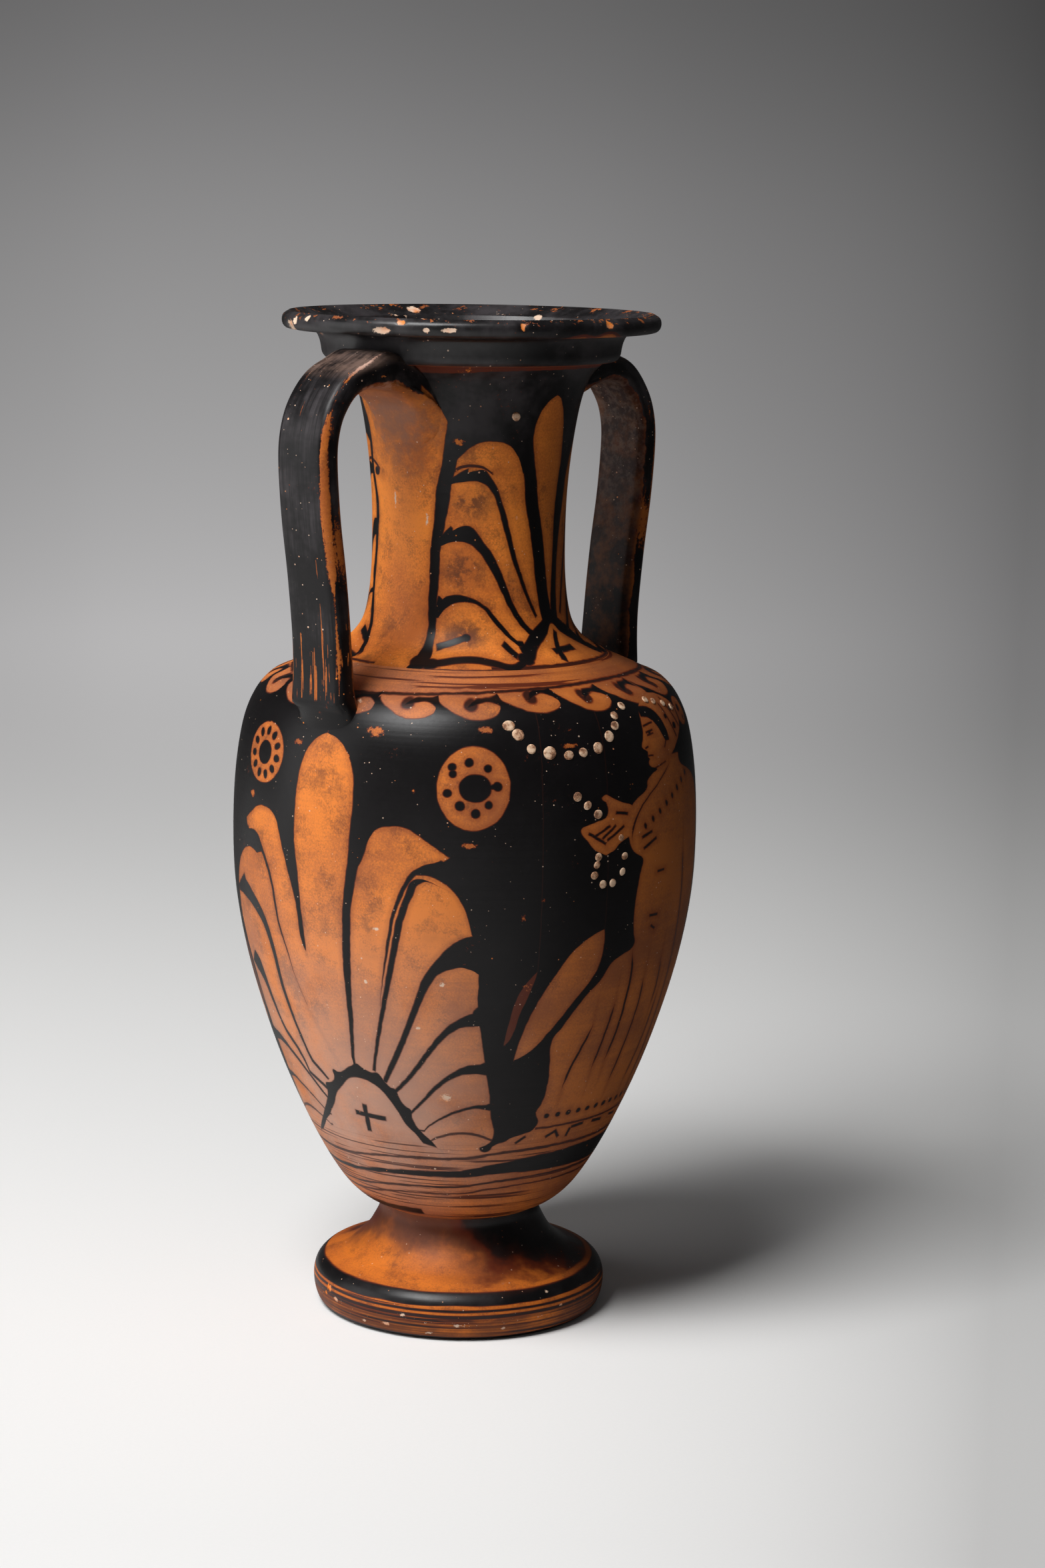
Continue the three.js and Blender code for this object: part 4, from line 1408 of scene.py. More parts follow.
@dataclass(frozen=True)
class FootClay:
    """The foot's dress: orange on top with a black cloud, and bands on the rounded edge."""

    fired: Fired = Fired(clay=srgb(232, 128, 40), clay_dull=srgb(190, 100, 40))

    def material(self) -> Material:
        """Dresses the foot.

        Returns:
            The finish.
        """
        bench = Bench("foot_clay")
        here = Surface(bench, 0.4)
        wobble = here.stretched(0.03, 0.4, 2.0) - 0.5
        lines = here.stretched(0.014, 1.4, 3.0, 5.0)
        level = here.level + wobble * 0.9
        fade = bench.step(here.stretched(0.018, 0.12, 2.0, 31.0), 0.42, 0.62)
        outside = here.radius - 40.0
        band = bench.least(15.8 - level, level - 11.9 - fade * 1.2, 0.5 - fade * 0.35)
        art = Painting(here, bench.least(band, outside))
        cloud = bench.noise(here.place, 0.05, 4.0, 0.6)
        right = bench.curve(here.angle, (
            (-180, 0.4), (-140, 0.1), (-110, -0.1), (-72, -0.1), (-50, 0.06), (-34, 0.22), (-18, 0.38),
            (4, 0.46), (40, 0.5), (90, 0.3),
            (150, 0.42), (180, 0.4)))
        stem = bench.curve(here.level, ((15.8, -0.14), (17.4, -0.08), (20, 0.0), (24, 0.12), (28, 0.26),
            (33, 0.32), (35, 0.28)))
        art.cover(
            art.both((cloud + right + stem - 0.9) * 1.5, level - 16.8, 0.5),
            art.both(0.35 - abs(level - 10.6), outside, 0.35),
                art.both(0.5 - abs(level - 8.7), outside, 0.14),
            art.both(0.7 - abs(level - 0.9), outside, 0.4),
                art.both((lines - 0.56) * 7.0, 9.0 - level, outside, 0.16),
            art.both((lines - 0.6) * 7.0, level - 11.0, 16.0 - level, outside, 0.3))
        worn = bench.step(cloud + (lines - 0.5), 0.48, 0.7)
        soot = bench.step(lines * 0.6 + cloud * 0.5 - bench.step(level, 7.5, 10.8) * 0.4, 0.36, 0.58)
        top = bench.step(cloud + stem * 1.2 + right * 0.5, 0.46, 0.8)
        scorch_and_shade = bench.most(
            soot * bench.step(outside, 0.0, 2.0) * 0.85, top * bench.step(level, 16.0, 18.0) * 0.9)
        scorch_and_shade = bench.most(scorch_and_shade, bench.step(-outside, 0.0, 2.0) * bench.step(-level, -15.0, -9.0) * 0.6)
        glow = art.splashes((
            (-76.0, 21.6, 6.5, 3.2), (-109.0, 22.1, 5.0, 2.6), (-45.0, 23.6, 3.4, 1.6),
            (-62.0, 20.6, 4.0, 2.0),
            (-20.0, 22.6, 2.6, 1.0), (-60.0, 8.2, 9.0, 2.6),
            (-40.0, 8.4, 6.0, 2.2)), upright=True, along=here.phi)
        scorch_and_shade = scorch_and_shade * (1 - bench.step(glow + (cloud - 0.5), 0.1, 0.6) * 0.85)
        flakes = art.splashes((
            (-111.0, 10.0, 3.0, 2.2), (-106.0, 7.2, 1.8, 1.5), (-114.0, 7.6, 1.6, 1.3),
            (-79.0, 4.2, 2.8, 1.0),
            (-72.0, 8.2, 2.2, 1.2), (-50.0, 5.8, 2.2, 0.8), (-61.0, 2.8, 2.4, 0.8), (-90.0, 3.4, 1.8, 0.9),
            (-32.0, 4.4, 1.6, 0.7), (-12.0, 14.2, 1.3, 0.9), (-6.0, 9.0, 1.2, 0.8),
            (40.0, 7.0, 2.4, 1.2), (120.0, 9.0, 2.6, 1.4)), 0.75, along=here.phi)
        pits = bench.noise(here.place, 0.5, 4.0, 0.8)
        low = bench.step(pits - abs(level - 6.5) * 0.022, 0.6, 0.66) * bench.step(outside, 0.0, 3.0) * 0.5
        # Some painted sheen on the black.
        return self.fired.dress(art, scorch_and_shade, worn * 0.2, 0.3, bench.most(flakes, low), gloss=0.3)


@dataclass(frozen=True)
class MouthGloss:
    """The mouth's dress: black with a painted grey sheen, chipped along the lip."""

    fired: Fired = Fired()

    def material(self) -> Material:
        """Dresses the mouth.

        Returns:
            The finish.
        """
        bench = Bench("mouth_gloss")
        here = Surface(bench, 0.4)
        art = Painting(here, here.level - MOUTH_Z - 0.1)
        under = bench.curve(here.angle, (
            (-180, 0), (-30, 0), (-22, 0.4), (-15, 1.9), (-11, 1.2), (-5, 2.6), (2, 0.6), (6, 0),
            (120, 0), (132, 1.6), (150, 0), (180, 0)))
        lip = here.radius - 56.6
        bare = art.both(322.9 + under - here.height, lip, under * 2.0 - 0.2)
        art.thin(0.02, bare)
        art.reserve(bare - 0.7)
        fray = here.stretched(0.2, 0.6, 3.0, 2.0)
        inner = art.both(here.radius - 49.6, 52.4 - here.radius, (here.level - 324.0) * 2.0)
        flakes = bench.most(0.0, (fray - 0.56) * 5.0 * bench.step(inner, -0.6, 0.6), *(
            art.oval(chip.phi, chip.height, chip.wide * 1.1, chip.tall, here.phi) / chip.tall * 1.3
            for chip in MOUTH_CHIPS))
        edge = bench.step(fray + bench.noise(here.place, 0.5, 3.0, 0.7), 1.08, 1.22)
        rubbed = edge * bench.step(here.level, 326.0, 328.6) * 0.9
        # A strong painted sheen on the black.
        return self.fired.dress(art, 0.5, rubbed, 0.9, flakes)


@dataclass(frozen=True)
class HandleGloss:
    """A handle's dress: black outside, bare inside and rubbed along the arrises. The right one is darker
    inside, with painted shade.
    """

    side: Side
    fired: Fired = NECK_CLAY_LIT
    # A shaded copy of the clay for the right handle: painted shade.
    shaded_right: Fired = replace(NECK_CLAY_LIT, clay_scorched_and_shaded=srgb(27, 18, 15), film_and_sheen=srgb(150, 126, 112))

    def material(self) -> Material:
        """Dresses the handle.

        Returns:
            The finish.
        """
        bench = Bench(f"handle_gloss_{self.side.label}")
        here = Surface(bench, 0.4)
        strap = bench.node("ShaderNodeAttribute", {"attribute_name": "strap"}, {}).outputs["Vector"]
        parts = bench.node("ShaderNodeSeparateXYZ", {}, {0: strap}).outputs
        along, across, out = (Value(bench, part) for part in parts)
        front = across if self.side is Side.LEFT else -across
        level = here.level
        cloud = bench.noise(here.place, 0.12, 4.0, 0.65)
        brim = bench.curve(level, ((204, -3.0), (225, -1.6), (260, -2.4), (300, -2.6), (318, -3.2)))
        inside = bench.step(-out, 0.5, 3.4)
        on_neck = bench.most(NeckPaint.top(here), (here.radius - 41.0) * 0.5)
        art = Painting(here, bench.least(out - brim + (cloud - 0.5) * 5.0, on_neck))
        drawn = bench.node("ShaderNodeCombineXYZ", {}, {0: along * 0.035, 1: across * 0.9, 2: out * 0.35})
        hairs = bench.noise(drawn.outputs[0], 1.0, 3.0, 0.7)
        arris = bench.length((front - 9.6) * 0.9, (out - 3.2) * 0.9)
        upper = bench.curve(level, (
            (200, 0.1), (214, 0.5), (222, 0.8), (244, 0.7), (250, 1.2), (262, 1.35), (290, 1.2),
            (298, 0.9), (306, 0.4), (312, 0.6)))
        cheek = bench.curve(level, ((238, 0.0), (250, 0.42), (260, 0.7), (270, 0.3), (284, 0.12),
            (296, 0.42), (304, 0.0)))
        cheek = cheek * bench.step(front, 8.8, 10.0) * bench.step(3.4 - abs(out), 0.0, 1.4)
        strip = bench.most(upper - arris * 0.55, cheek, 0.0) * bench.step(level, 208.0, 213.0)
        strip = strip + (hairs - 0.5) * 1.1
        other = bench.most(0.3 - bench.length((front + 9.4) * 0.5, (out - 2.4) * 0.5) * 0.4, 0.0)
        other = other + (hairs - 0.5)
        zone = bench.curve(level, ((188, 0.0), (200, 0.08), (215, 0.13), (236, 0.11), (246, 0.03),
            (300, 0.03)))
        scratches = bench.step(hairs + zone, 0.69, 0.75) * bench.step(level, 208.0, 214.0)
        crown = bench.step(level, 310.0, 315.0) * bench.step(out, 0.5, 3.5)
        patch = art.both(1.5 - bench.length((front - 7.0) * 0.4, (here.radius - 46.0) * 0.3), out) * 0.8
        rubbed = bench.most(strip, other, scratches * 0.9, patch)
        # Inner faces browned, more on the right handle: painted shade, partly scorching; near the neck it
        # becomes the neck's painted root shade.
        underside_shade = 0.5 if self.side is Side.LEFT else 0.66
        scorch_and_shade = bench.step(here.radius, 36.0, 52.0) * underside_shade + 0.3 + (cloud - 0.5) * 0.7
        root_shade, root_shade_grey = NeckPaint.root_shade(here)
        root = bench.step(-here.radius, -48.0, -40.0)
        scorch_and_shade = (scorch_and_shade + (root_shade - scorch_and_shade) * root) * (0.25 + inside * 0.75)
        mottle = bench.step(bench.noise(here.place, 0.3, 4.0, 0.75), 0.42, 0.62) * bench.curve(level, (
            (222, 0.0), (245, 0.04), (268, 0.16), (300, 0.3))) * bench.step(here.radius, 46.0, 54.0)
        # Pale on the crown's outer top: dirt and a painted highlight; mottled inside; greyed at the root by
        # painted shade.
        dust_and_painted_light = bench.most(
            bench.step(hairs * 0.4 + cloud * 0.6, 0.36, 0.62) * crown, mottle * inside, root_shade_grey * root * inside)
        pits = self.fired.specks(bench, here, 1.5, 0.2, 0.16)
        # Painted sheen on the black, partly dulled gloss: none at the strap's foot, streaked along it.
        worn_gloss_and_sheen = bench.curve(level, ((206, 0.0), (218, 0.15), (240, 0.75), (300, 0.95)))
        worn_gloss_and_sheen = worn_gloss_and_sheen * (bench.step(hairs, 0.32, 0.62) * 0.9 + 0.15)
        fired = self.fired if self.side is Side.LEFT else self.shaded_right
        return fired.dress(art, scorch_and_shade, rubbed * 1.1, worn_gloss_and_sheen, pits * 0.5, dust_and_painted_light, 0.22)


# Pieces -----------------------------------------------------------------------------------------


def put_on(obj: Object, material: Material, slot: str) -> None:
    """Dresses a piece, makes it ride with the jar and logs its slot's name.

    Args:
        obj: the piece.
        material: its finish.
        slot: the record's material slot.
    """
    obj.data.materials.clear()
    obj.data.materials.append(material)
    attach(obj, "root")
    LOG.info("piece %s: %d faces, slot %s", obj.name, len(obj.data.polygons), slot)


@dataclass(frozen=True)
class Foot:
    """The resting ring, its hollow underside, the rounded edge, the sloping top and the stem."""

    height: float = 35.0
    edge_radius: float = 48.6
    edge_height: float = 16.2
    arris_inset: float = 4.7
    rest_inset: float = 4.0
    rest_width: float = 9.6
    hollow_depth: float = 22.0
    stem_radius: float = 27.0
    socket_radius: float = 14.3
    socket_depth: float = 4.3
    sides: int = 256

    @property
    def arris(self) -> float:
        """The radius of the arris round the top."""
        return self.edge_radius - self.arris_inset

    def edge(self) -> Outline:
        """The rounded edge, from the resting ring up to the arris."""
        shares = ((0.64, 0.1), (0.92, 0.31), (1, 0.58), (0.8, 0.81), (0.36, 0.955))
        middle = [(self.arris + r * self.arris_inset, z * self.edge_height) for r, z in shares]
        return Outline([(self.edge_radius - self.rest_inset, 0), *middle, (self.arris, self.edge_height)])

    def top(self) -> Outline:
        """The sloping top and the stem, from the arris up to the joint."""
        shares = ((0.79, 0.07), (0.53, 0.18), (0.25, 0.4), (0.07, 0.66), (-0.02, 0.85))
        middle = [
            (lerp(self.stem_radius, self.arris, r), lerp(self.edge_height, self.height, z)) for r, z in shares
        ]
        return Outline([(self.arris, self.edge_height), *middle, (self.stem_radius, self.height)])

    def hollow(self) -> Outline:
        """The hollow underside, from the resting ring in to the middle."""
        radius = self.edge_radius - self.rest_inset - self.rest_width
        shares = ((0.96, 0.16), (0.78, 0.52), (0.5, 0.84), (0.24, 0.97))
        middle = [(r * radius, z * self.hollow_depth) for r, z in shares]
        return Outline([(radius, 0), *middle, (0, self.hollow_depth)])

    def build(self) -> Object:
        """Turns the foot.

        Returns:
            The piece.
        """
        front = self.edge().spaced(0.9) + self.top().spaced(0.9)[1:]
        floor = self.height - self.socket_depth
        back = [(self.socket_radius, self.height), (self.socket_radius, floor), (0, floor)]
        under = self.hollow().spaced(2.5)[::-1]
        outline = [*front, *back]
        obj = turned("foot_turned", [*under, *outline], self.sides)
        lay_out(obj, [*under, *outline], len(under) + len(front), 0.95)
        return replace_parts(obj, "foot")


@dataclass(frozen=True)
class Body:
    """The swelling wall from the stem to the shoulder, hollow inside, with a seat for the neck."""

    height: float = 184.2
    belly: float = 76.0
    wall: float = 5.5
    floor: float = 6.0
    stem_radius: float = 27.0
    seat_radius: float = 46.0
    hole: float = 30.0
    spigot_radius: float = 14.0
    spigot_depth: float = 4.0
    sides: int = 192

    def outside(self) -> Outline:
        """The wall's outside, at the jar's height."""
        shares = (
            (0.44, 0.018), (0.53, 0.057), (0.641, 0.134), (0.763, 0.243), (0.859, 0.351),
            (0.937, 0.463), (0.986, 0.574), (1, 0.677), (0.991, 0.785), (0.96, 0.872),
            (0.912, 0.924), (0.85, 0.955), (0.79, 0.967), (0.704, 0.983),
        )
        middle = [(r * self.belly, z * self.height) for r, z in shares]
        ends = (self.stem_radius, 0.0), (self.seat_radius, self.height)
        return Outline(lifted([ends[0], *middle, ends[1]], BODY_Z))

    def build(self) -> Object:
        """Turns the body.

        Returns:
            The piece.
        """
        outside = self.outside()
        front = down_to_seam(outside.spaced(1.2))
        top = BODY_Z + self.height
        ceiling = top - self.wall
        inner = [
            (r, z) for r, z in outside.inside(self.wall, 6.0)
            if BODY_Z + self.floor < z < ceiling and r > self.hole
        ]
        back = [(self.hole, top), (self.hole, ceiling), *inner[::-1], (0.0, BODY_Z + self.floor)]
        seam = front[0][1]
        foot = [(0.0, BODY_Z - self.spigot_depth), (self.spigot_radius, BODY_Z - self.spigot_depth),
                (self.spigot_radius, seam)]
        outline = [*foot, *front, *back]
        obj = turned("body_thrown", outline, self.sides)
        lay_out(obj, outline, len(foot) + len(front), 0.88)
        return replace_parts(obj, "body")


@dataclass(frozen=True)
class Neck:
    """The waisted neck, with a spigot in the shoulder and a rebate for the mouth."""

    height: float = 94.1
    waist: float = 31.3
    seat_radius: float = 46.0
    collar_radius: float = 43.0
    bore: float = 25.5
    mouth_bore: float = 30.6
    spigot: float = 29.7
    spigot_depth: float = 5.0
    rebate: float = 35.0
    rebate_depth: float = 3.8
    sides: int = 192

    def outside(self) -> Outline:
        """The neck's outside, at the jar's height."""
        shares = (
            (1.3, 0.032), (1.19, 0.06), (1.09, 0.11), (1.035, 0.185), (1.005, 0.29), (1, 0.42),
            (1.012, 0.555), (1.05, 0.69), (1.11, 0.82), (1.17, 0.9), (1.255, 0.96),
        )
        middle = [(r * self.waist, z * self.height) for r, z in shares]
        ends = (self.seat_radius, 0.0), (self.collar_radius, self.height)
        return Outline(lifted([ends[0], *middle, ends[1]], NECK_Z))

    def build(self) -> Object:
        """Turns the neck.

        Returns:
            The piece.
        """
        front = down_to_seam(self.outside().spaced(1.0))
        ledge = self.height - self.rebate_depth
        shares = ((0, 0.42), (0.1, 0.62), (0.4, 0.82))
        middle = [(lerp(self.bore, self.mouth_bore, r), z * self.height) for r, z in shares]
        bore = Outline([(self.bore, 0), *middle, (self.mouth_bore, ledge)]).spaced(4.0)[::-1]
        seam = front[0][1] - NECK_Z
        foot = [(self.bore, -self.spigot_depth), (self.spigot, -self.spigot_depth), (self.spigot, seam)]
        rim = [(self.rebate, self.height), (self.rebate, ledge)]
        outline = [*lifted(foot, NECK_Z), *front, *lifted([*rim, *bore, foot[0]], NECK_Z)]
        obj = turned("neck_thrown", outline, self.sides)
        lay_out(obj, outline, len(foot) + len(front), 0.88)
        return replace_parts(obj, "neck")


@dataclass(frozen=True)
class Chip:
    """A flake knocked off an edge: where it is, how wide and how deep, in degrees and millimetres."""

    phi: float
    height: float
    radius: float
    wide: float
    tall: float
    deep: float

    def middle(self) -> Vector:
        """The chip's middle, in metres."""
        turn = math.radians(self.phi - 90)
        return Vector((self.radius * math.cos(turn), self.radius * math.sin(turn), self.height)) * MM

    def knock(self, obj: Object) -> None:
        """Sinks the piece's skin under the chip.

        Args:
            obj: the piece.
        """
        middle = self.middle()
        around = Vector((-middle.y, middle.x, 0)).normalized()
        for v in obj.data.vertices:
            away = (v.co - middle) / MM
            across, up = away.dot(around), away.z
            out = away.dot(Vector((middle.x, middle.y, 0)).normalized())
            reach = math.hypot(across / self.wide, math.hypot(up, out) / self.tall)
            if reach < 1:
                v.co -= v.normal * (self.deep * (1 - ease(reach, 0.35, 1.0)) * MM)


@dataclass(frozen=True)
class Mouth:
    """The flared collar and the overhanging lip, whose top dips to the bore."""

    height: float = 15.0
    lip_radius: float = 60.9
    lip_height: float = 5.7
    lip_bulge: float = 2.3
    lip_width: float = 10.4
    dish: float = 3.4
    collar_radius: float = 48.4
    collar_corner: float = 2.2
    seat_radius: float = 43.0
    bore: float = 30.6
    spigot: float = 34.7
    spigot_depth: float = 3.5
    sides: int = 384

    def outside(self) -> Outline:
        """The collar's and the lip's outside, at the jar's height."""
        bottom = self.height - self.lip_height
        core = self.lip_radius - self.lip_bulge
        corner = [
            (self.collar_radius - (1 - r) * self.collar_corner, z * self.collar_corner)
            for r, z in ((0, 0), (0.75, 0.7))
        ]
        flare = [
            (lerp(self.collar_radius, core, r), z * bottom)
            for r, z in ((0, 0.45), (0.05, 0.66), (0.16, 0.87), (0.4, 0.97))
        ]
        lip = [
            (core + r * self.lip_bulge, bottom + z * self.lip_height)
            for r, z in ((0.75, 0.16), (1, 0.46), (0.8, 0.78))
        ]
        points = [(self.seat_radius, 0), *corner, *flare, (core, bottom), *lip, (core, self.height)]
        return Outline(lifted(points, MOUTH_Z))

    def throat(self) -> Outline:
        """The throat, from the lip's inner edge down the bore."""
        inner = (self.lip_radius - self.lip_width, self.height - self.dish)
        tall = inner[1] + self.spigot_depth
        middle = [
            (lerp(self.bore, inner[0], r), z * tall - self.spigot_depth)
            for r, z in ((0.88, 0.72), (0.6, 0.42), (0.24, 0.17))
        ]
        return Outline(lifted([inner, *middle, (self.bore, -self.spigot_depth)], MOUTH_Z))

    def build(self) -> Object:
        """Turns the mouth and knocks its chips.

        Returns:
            The piece.
        """
        front = down_to_seam(self.outside().spaced(0.7))
        edge, inner = front[-1], self.throat().at(0.0)
        dip = [(lerp(edge[0], inner[0], t), lerp(edge[1], inner[1], t)) for t in (0.12, 0.3, 0.5, 0.7, 0.9)]
        throat = self.throat().spaced(1.5)
        seam = front[0][1] - MOUTH_Z
        foot = [(self.bore, -self.spigot_depth), (self.spigot, -self.spigot_depth), (self.spigot, seam)]
        close = lifted([foot[0]], MOUTH_Z)
        outline = [*lifted(foot, MOUTH_Z), *front, *dip, *throat[:-1], *close]
        obj = turned("mouth_thrown", outline, self.sides)
        for chip in MOUTH_CHIPS:
            chip.knock(obj)
        lay_out(obj, outline, len(foot) + len(front) + len(dip) + len(throat) // 2, 0.93)
        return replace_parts(obj, "mouth")


MOUTH_CHIPS = (
    Chip(-121.0, 324.6, 60.4, 4.2, 3.2, 1.1),
    Chip(-116.0, 326.8, 60.2, 2.2, 1.8, 0.7),
    Chip(-108.0, 327.8, 59.9, 1.7, 1.2, 0.5),
    Chip(-77.0, 325.4, 60.6, 3.4, 1.5, 0.6),
    Chip(-71.0, 327.9, 59.9, 1.8, 1.1, 0.6),
    Chip(-63.0, 325.8, 60.6, 1.5, 1.0, 0.45),
    Chip(-56.5, 325.9, 60.6, 3.0, 1.1, 0.4),
    Chip(-35.0, 327.2, 60.4, 1.2, 1.7, 0.6),
    Chip(-5.0, 327.4, 60.2, 2.1, 1.6, 0.6),
    Chip(42.0, 326.5, 60.5, 2.4, 1.5, 0.6),
    Chip(104.0, 325.6, 60.6, 2.0, 1.3, 0.5),
    Chip(151.0, 327.5, 60.1, 2.8, 1.4, 0.7),
)


WHITE_DOTS = (
    (-39.0, 206.0, 2.0), (-36.8, 203.3, 2.0), (-33.7, 199.2, 1.55), (-29.0, 197.9, 2.1),
    (-24.0, 196.8, 1.7),
    (-19.9, 197.1, 1.6), (-15.4, 198.1, 1.85), (-11.3, 201.2, 1.8), (-8.5, 203.9, 1.7), (-7.5, 206.9, 1.5),
    (-3.2, 209.1, 1.5), (8.5, 209.7, 1.3), (11.9, 208.8, 1.3), (16.7, 207.5, 1.3), (21.0, 205.8, 1.2),
    (-22.3, 184.0, 1.5), (-19.6, 181.1, 1.5), (-16.7, 177.7, 1.6), (-9.8, 169.8, 1.1), (-16.6, 164.4, 1.3),
    (-17.0, 162.2, 1.3), (-17.6, 158.4, 1.4), (-15.1, 155.5, 1.4), (-12.2, 155.9, 1.3), (-9.2, 159.1, 1.3),
    (-8.6, 163.5, 1.3),
)


@dataclass(frozen=True)
class AddedWhite:
    """The raised dots of white clay: the swag, the string, the wreath and the hair's beads."""

    lift: float = 0.34
    sides: int = 16
    collar_dots: tuple[float, float] = (-25.7, 154.3)
    collar_height: float = 298.3
    collar_size: float = 1.6

    def build(self) -> Object:
        """Sets every dot on both painted sides and one on each face of the neck, all a little different.

        Returns:
            The piece.
        """
        start_fresh()
        button = self._button()
        made = [button]
        body, neck = Body().outside(), Neck().outside()
        places = [(phi + turn, *body.at_height(z), r) for turn in (0, 180) for phi, z, r in WHITE_DOTS]
        places += [(phi, *neck.at_height(self.collar_height), self.collar_size) for phi in self.collar_dots]
        for i, (phi, (rho, z), (tr, tz), size) in enumerate(places):
            start_fresh()
            button.select_set(True)
            bpy.context.view_layer.objects.active = button
            bpy.ops.object.duplicate()
            dot = bpy.context.object
            turn = math.radians(phi - 90)
            out = Vector((math.cos(turn) * tz, math.sin(turn) * tz, -tr))
            place = Vector((math.cos(turn) * rho, math.sin(turn) * rho, z)) * MM
            shape = Matrix.Diagonal((size, size * (0.86 + i % 4 * 0.05), 1.0, 1.0))
            spin = Matrix.Rotation(i * 2.4, 4, "Z") @ shape
            upright = out.to_track_quat("Z", "Y").to_matrix().to_4x4()
            dot.matrix_world = Matrix.Translation(place) @ upright @ spin
            made.append(dot)
        bpy.data.objects.remove(button)
        start_fresh()
        for dot in made[1:]:
            dot.select_set(True)
        bpy.context.view_layer.objects.active = made[1]
        bpy.ops.object.join()
        obj = named("added_white")
        settle(obj)
        bpy.ops.object.shade_smooth()
        return obj

    def _button(self) -> Object:
        """Raises one dot of unit radius: a disc, drawn up and in to a low dome."""
        bpy.ops.mesh.primitive_circle_add(vertices=self.sides, radius=MM, fill_type="NGON")
        button = named("button")
        bpy.ops.object.mode_set(mode="EDIT")
        bpy.ops.mesh.select_all(action="SELECT")
        bpy.ops.transform.translate(value=(0, 0, -0.25 * MM))
        for height, share in ((0.25, 1.0), (self.lift * 0.55, 0.93), (self.lift * 0.3, 0.82),
            (self.lift * 0.15, 0.6)):
            bpy.ops.mesh.extrude_region_move(TRANSFORM_OT_translate={"value": (0, 0, height * MM)})
            bpy.ops.transform.resize(value=(share, share, 1), center_override=(0, 0, 0))
        bpy.ops.transform.resize(value=(0.7, 0.7, 1), center_override=(0, 0, 0))
        bpy.ops.mesh.select_all(action="SELECT")
        bpy.ops.transform.vertex_random(offset=0.05 * MM, seed=3)
        bpy.ops.mesh.normals_make_consistent(inside=False)
        bpy.ops.object.mode_set(mode="OBJECT")
        return button

    @staticmethod
    def material() -> Material:
        """The white clay: chalky, tan where it is thin, pitted to the slip.

        Returns:
            The finish.
        """
        bench = Bench("added_white")
        here = Surface(bench)
        cloud = bench.noise(here.place, 0.35, 3.0, 0.6)
        grain = bench.noise(here.place, 3.0, 2.0, 0.7)
        colour = bench.mix(bench.step(cloud, 0.36, 0.62), srgb(226, 194, 164), srgb(176, 126, 90))
        colour = bench.mix(bench.step(cloud * 0.55 + grain * 0.45, 0.5, 0.6) * 0.85, colour, srgb(84, 52, 38))
        return bench.finish(colour, 0.75, grain * 0.15, 0.4)


class Side(Enum):
    """The two handles: how each is turned, in degrees, and how high its arch stands."""

    LEFT = ("left", 180.0, 2.8)
    RIGHT = ("right", -4.0, 0.8)

    def __init__(self, label: str, turn: float, crown: float) -> None:
        """Keeps the handle's label, turn and crown."""
        self.label = label
        self.turn = turn
        self.crown = crown


TAIL_END, TAIL_START = 199.5, 211.5  # Where a strap has sunk into the shoulder, and where it begins to.
TAIL_HALF, TAIL_BOW = 11.0, 4.0  # Half a strap's width there, and how much higher its sides sink.


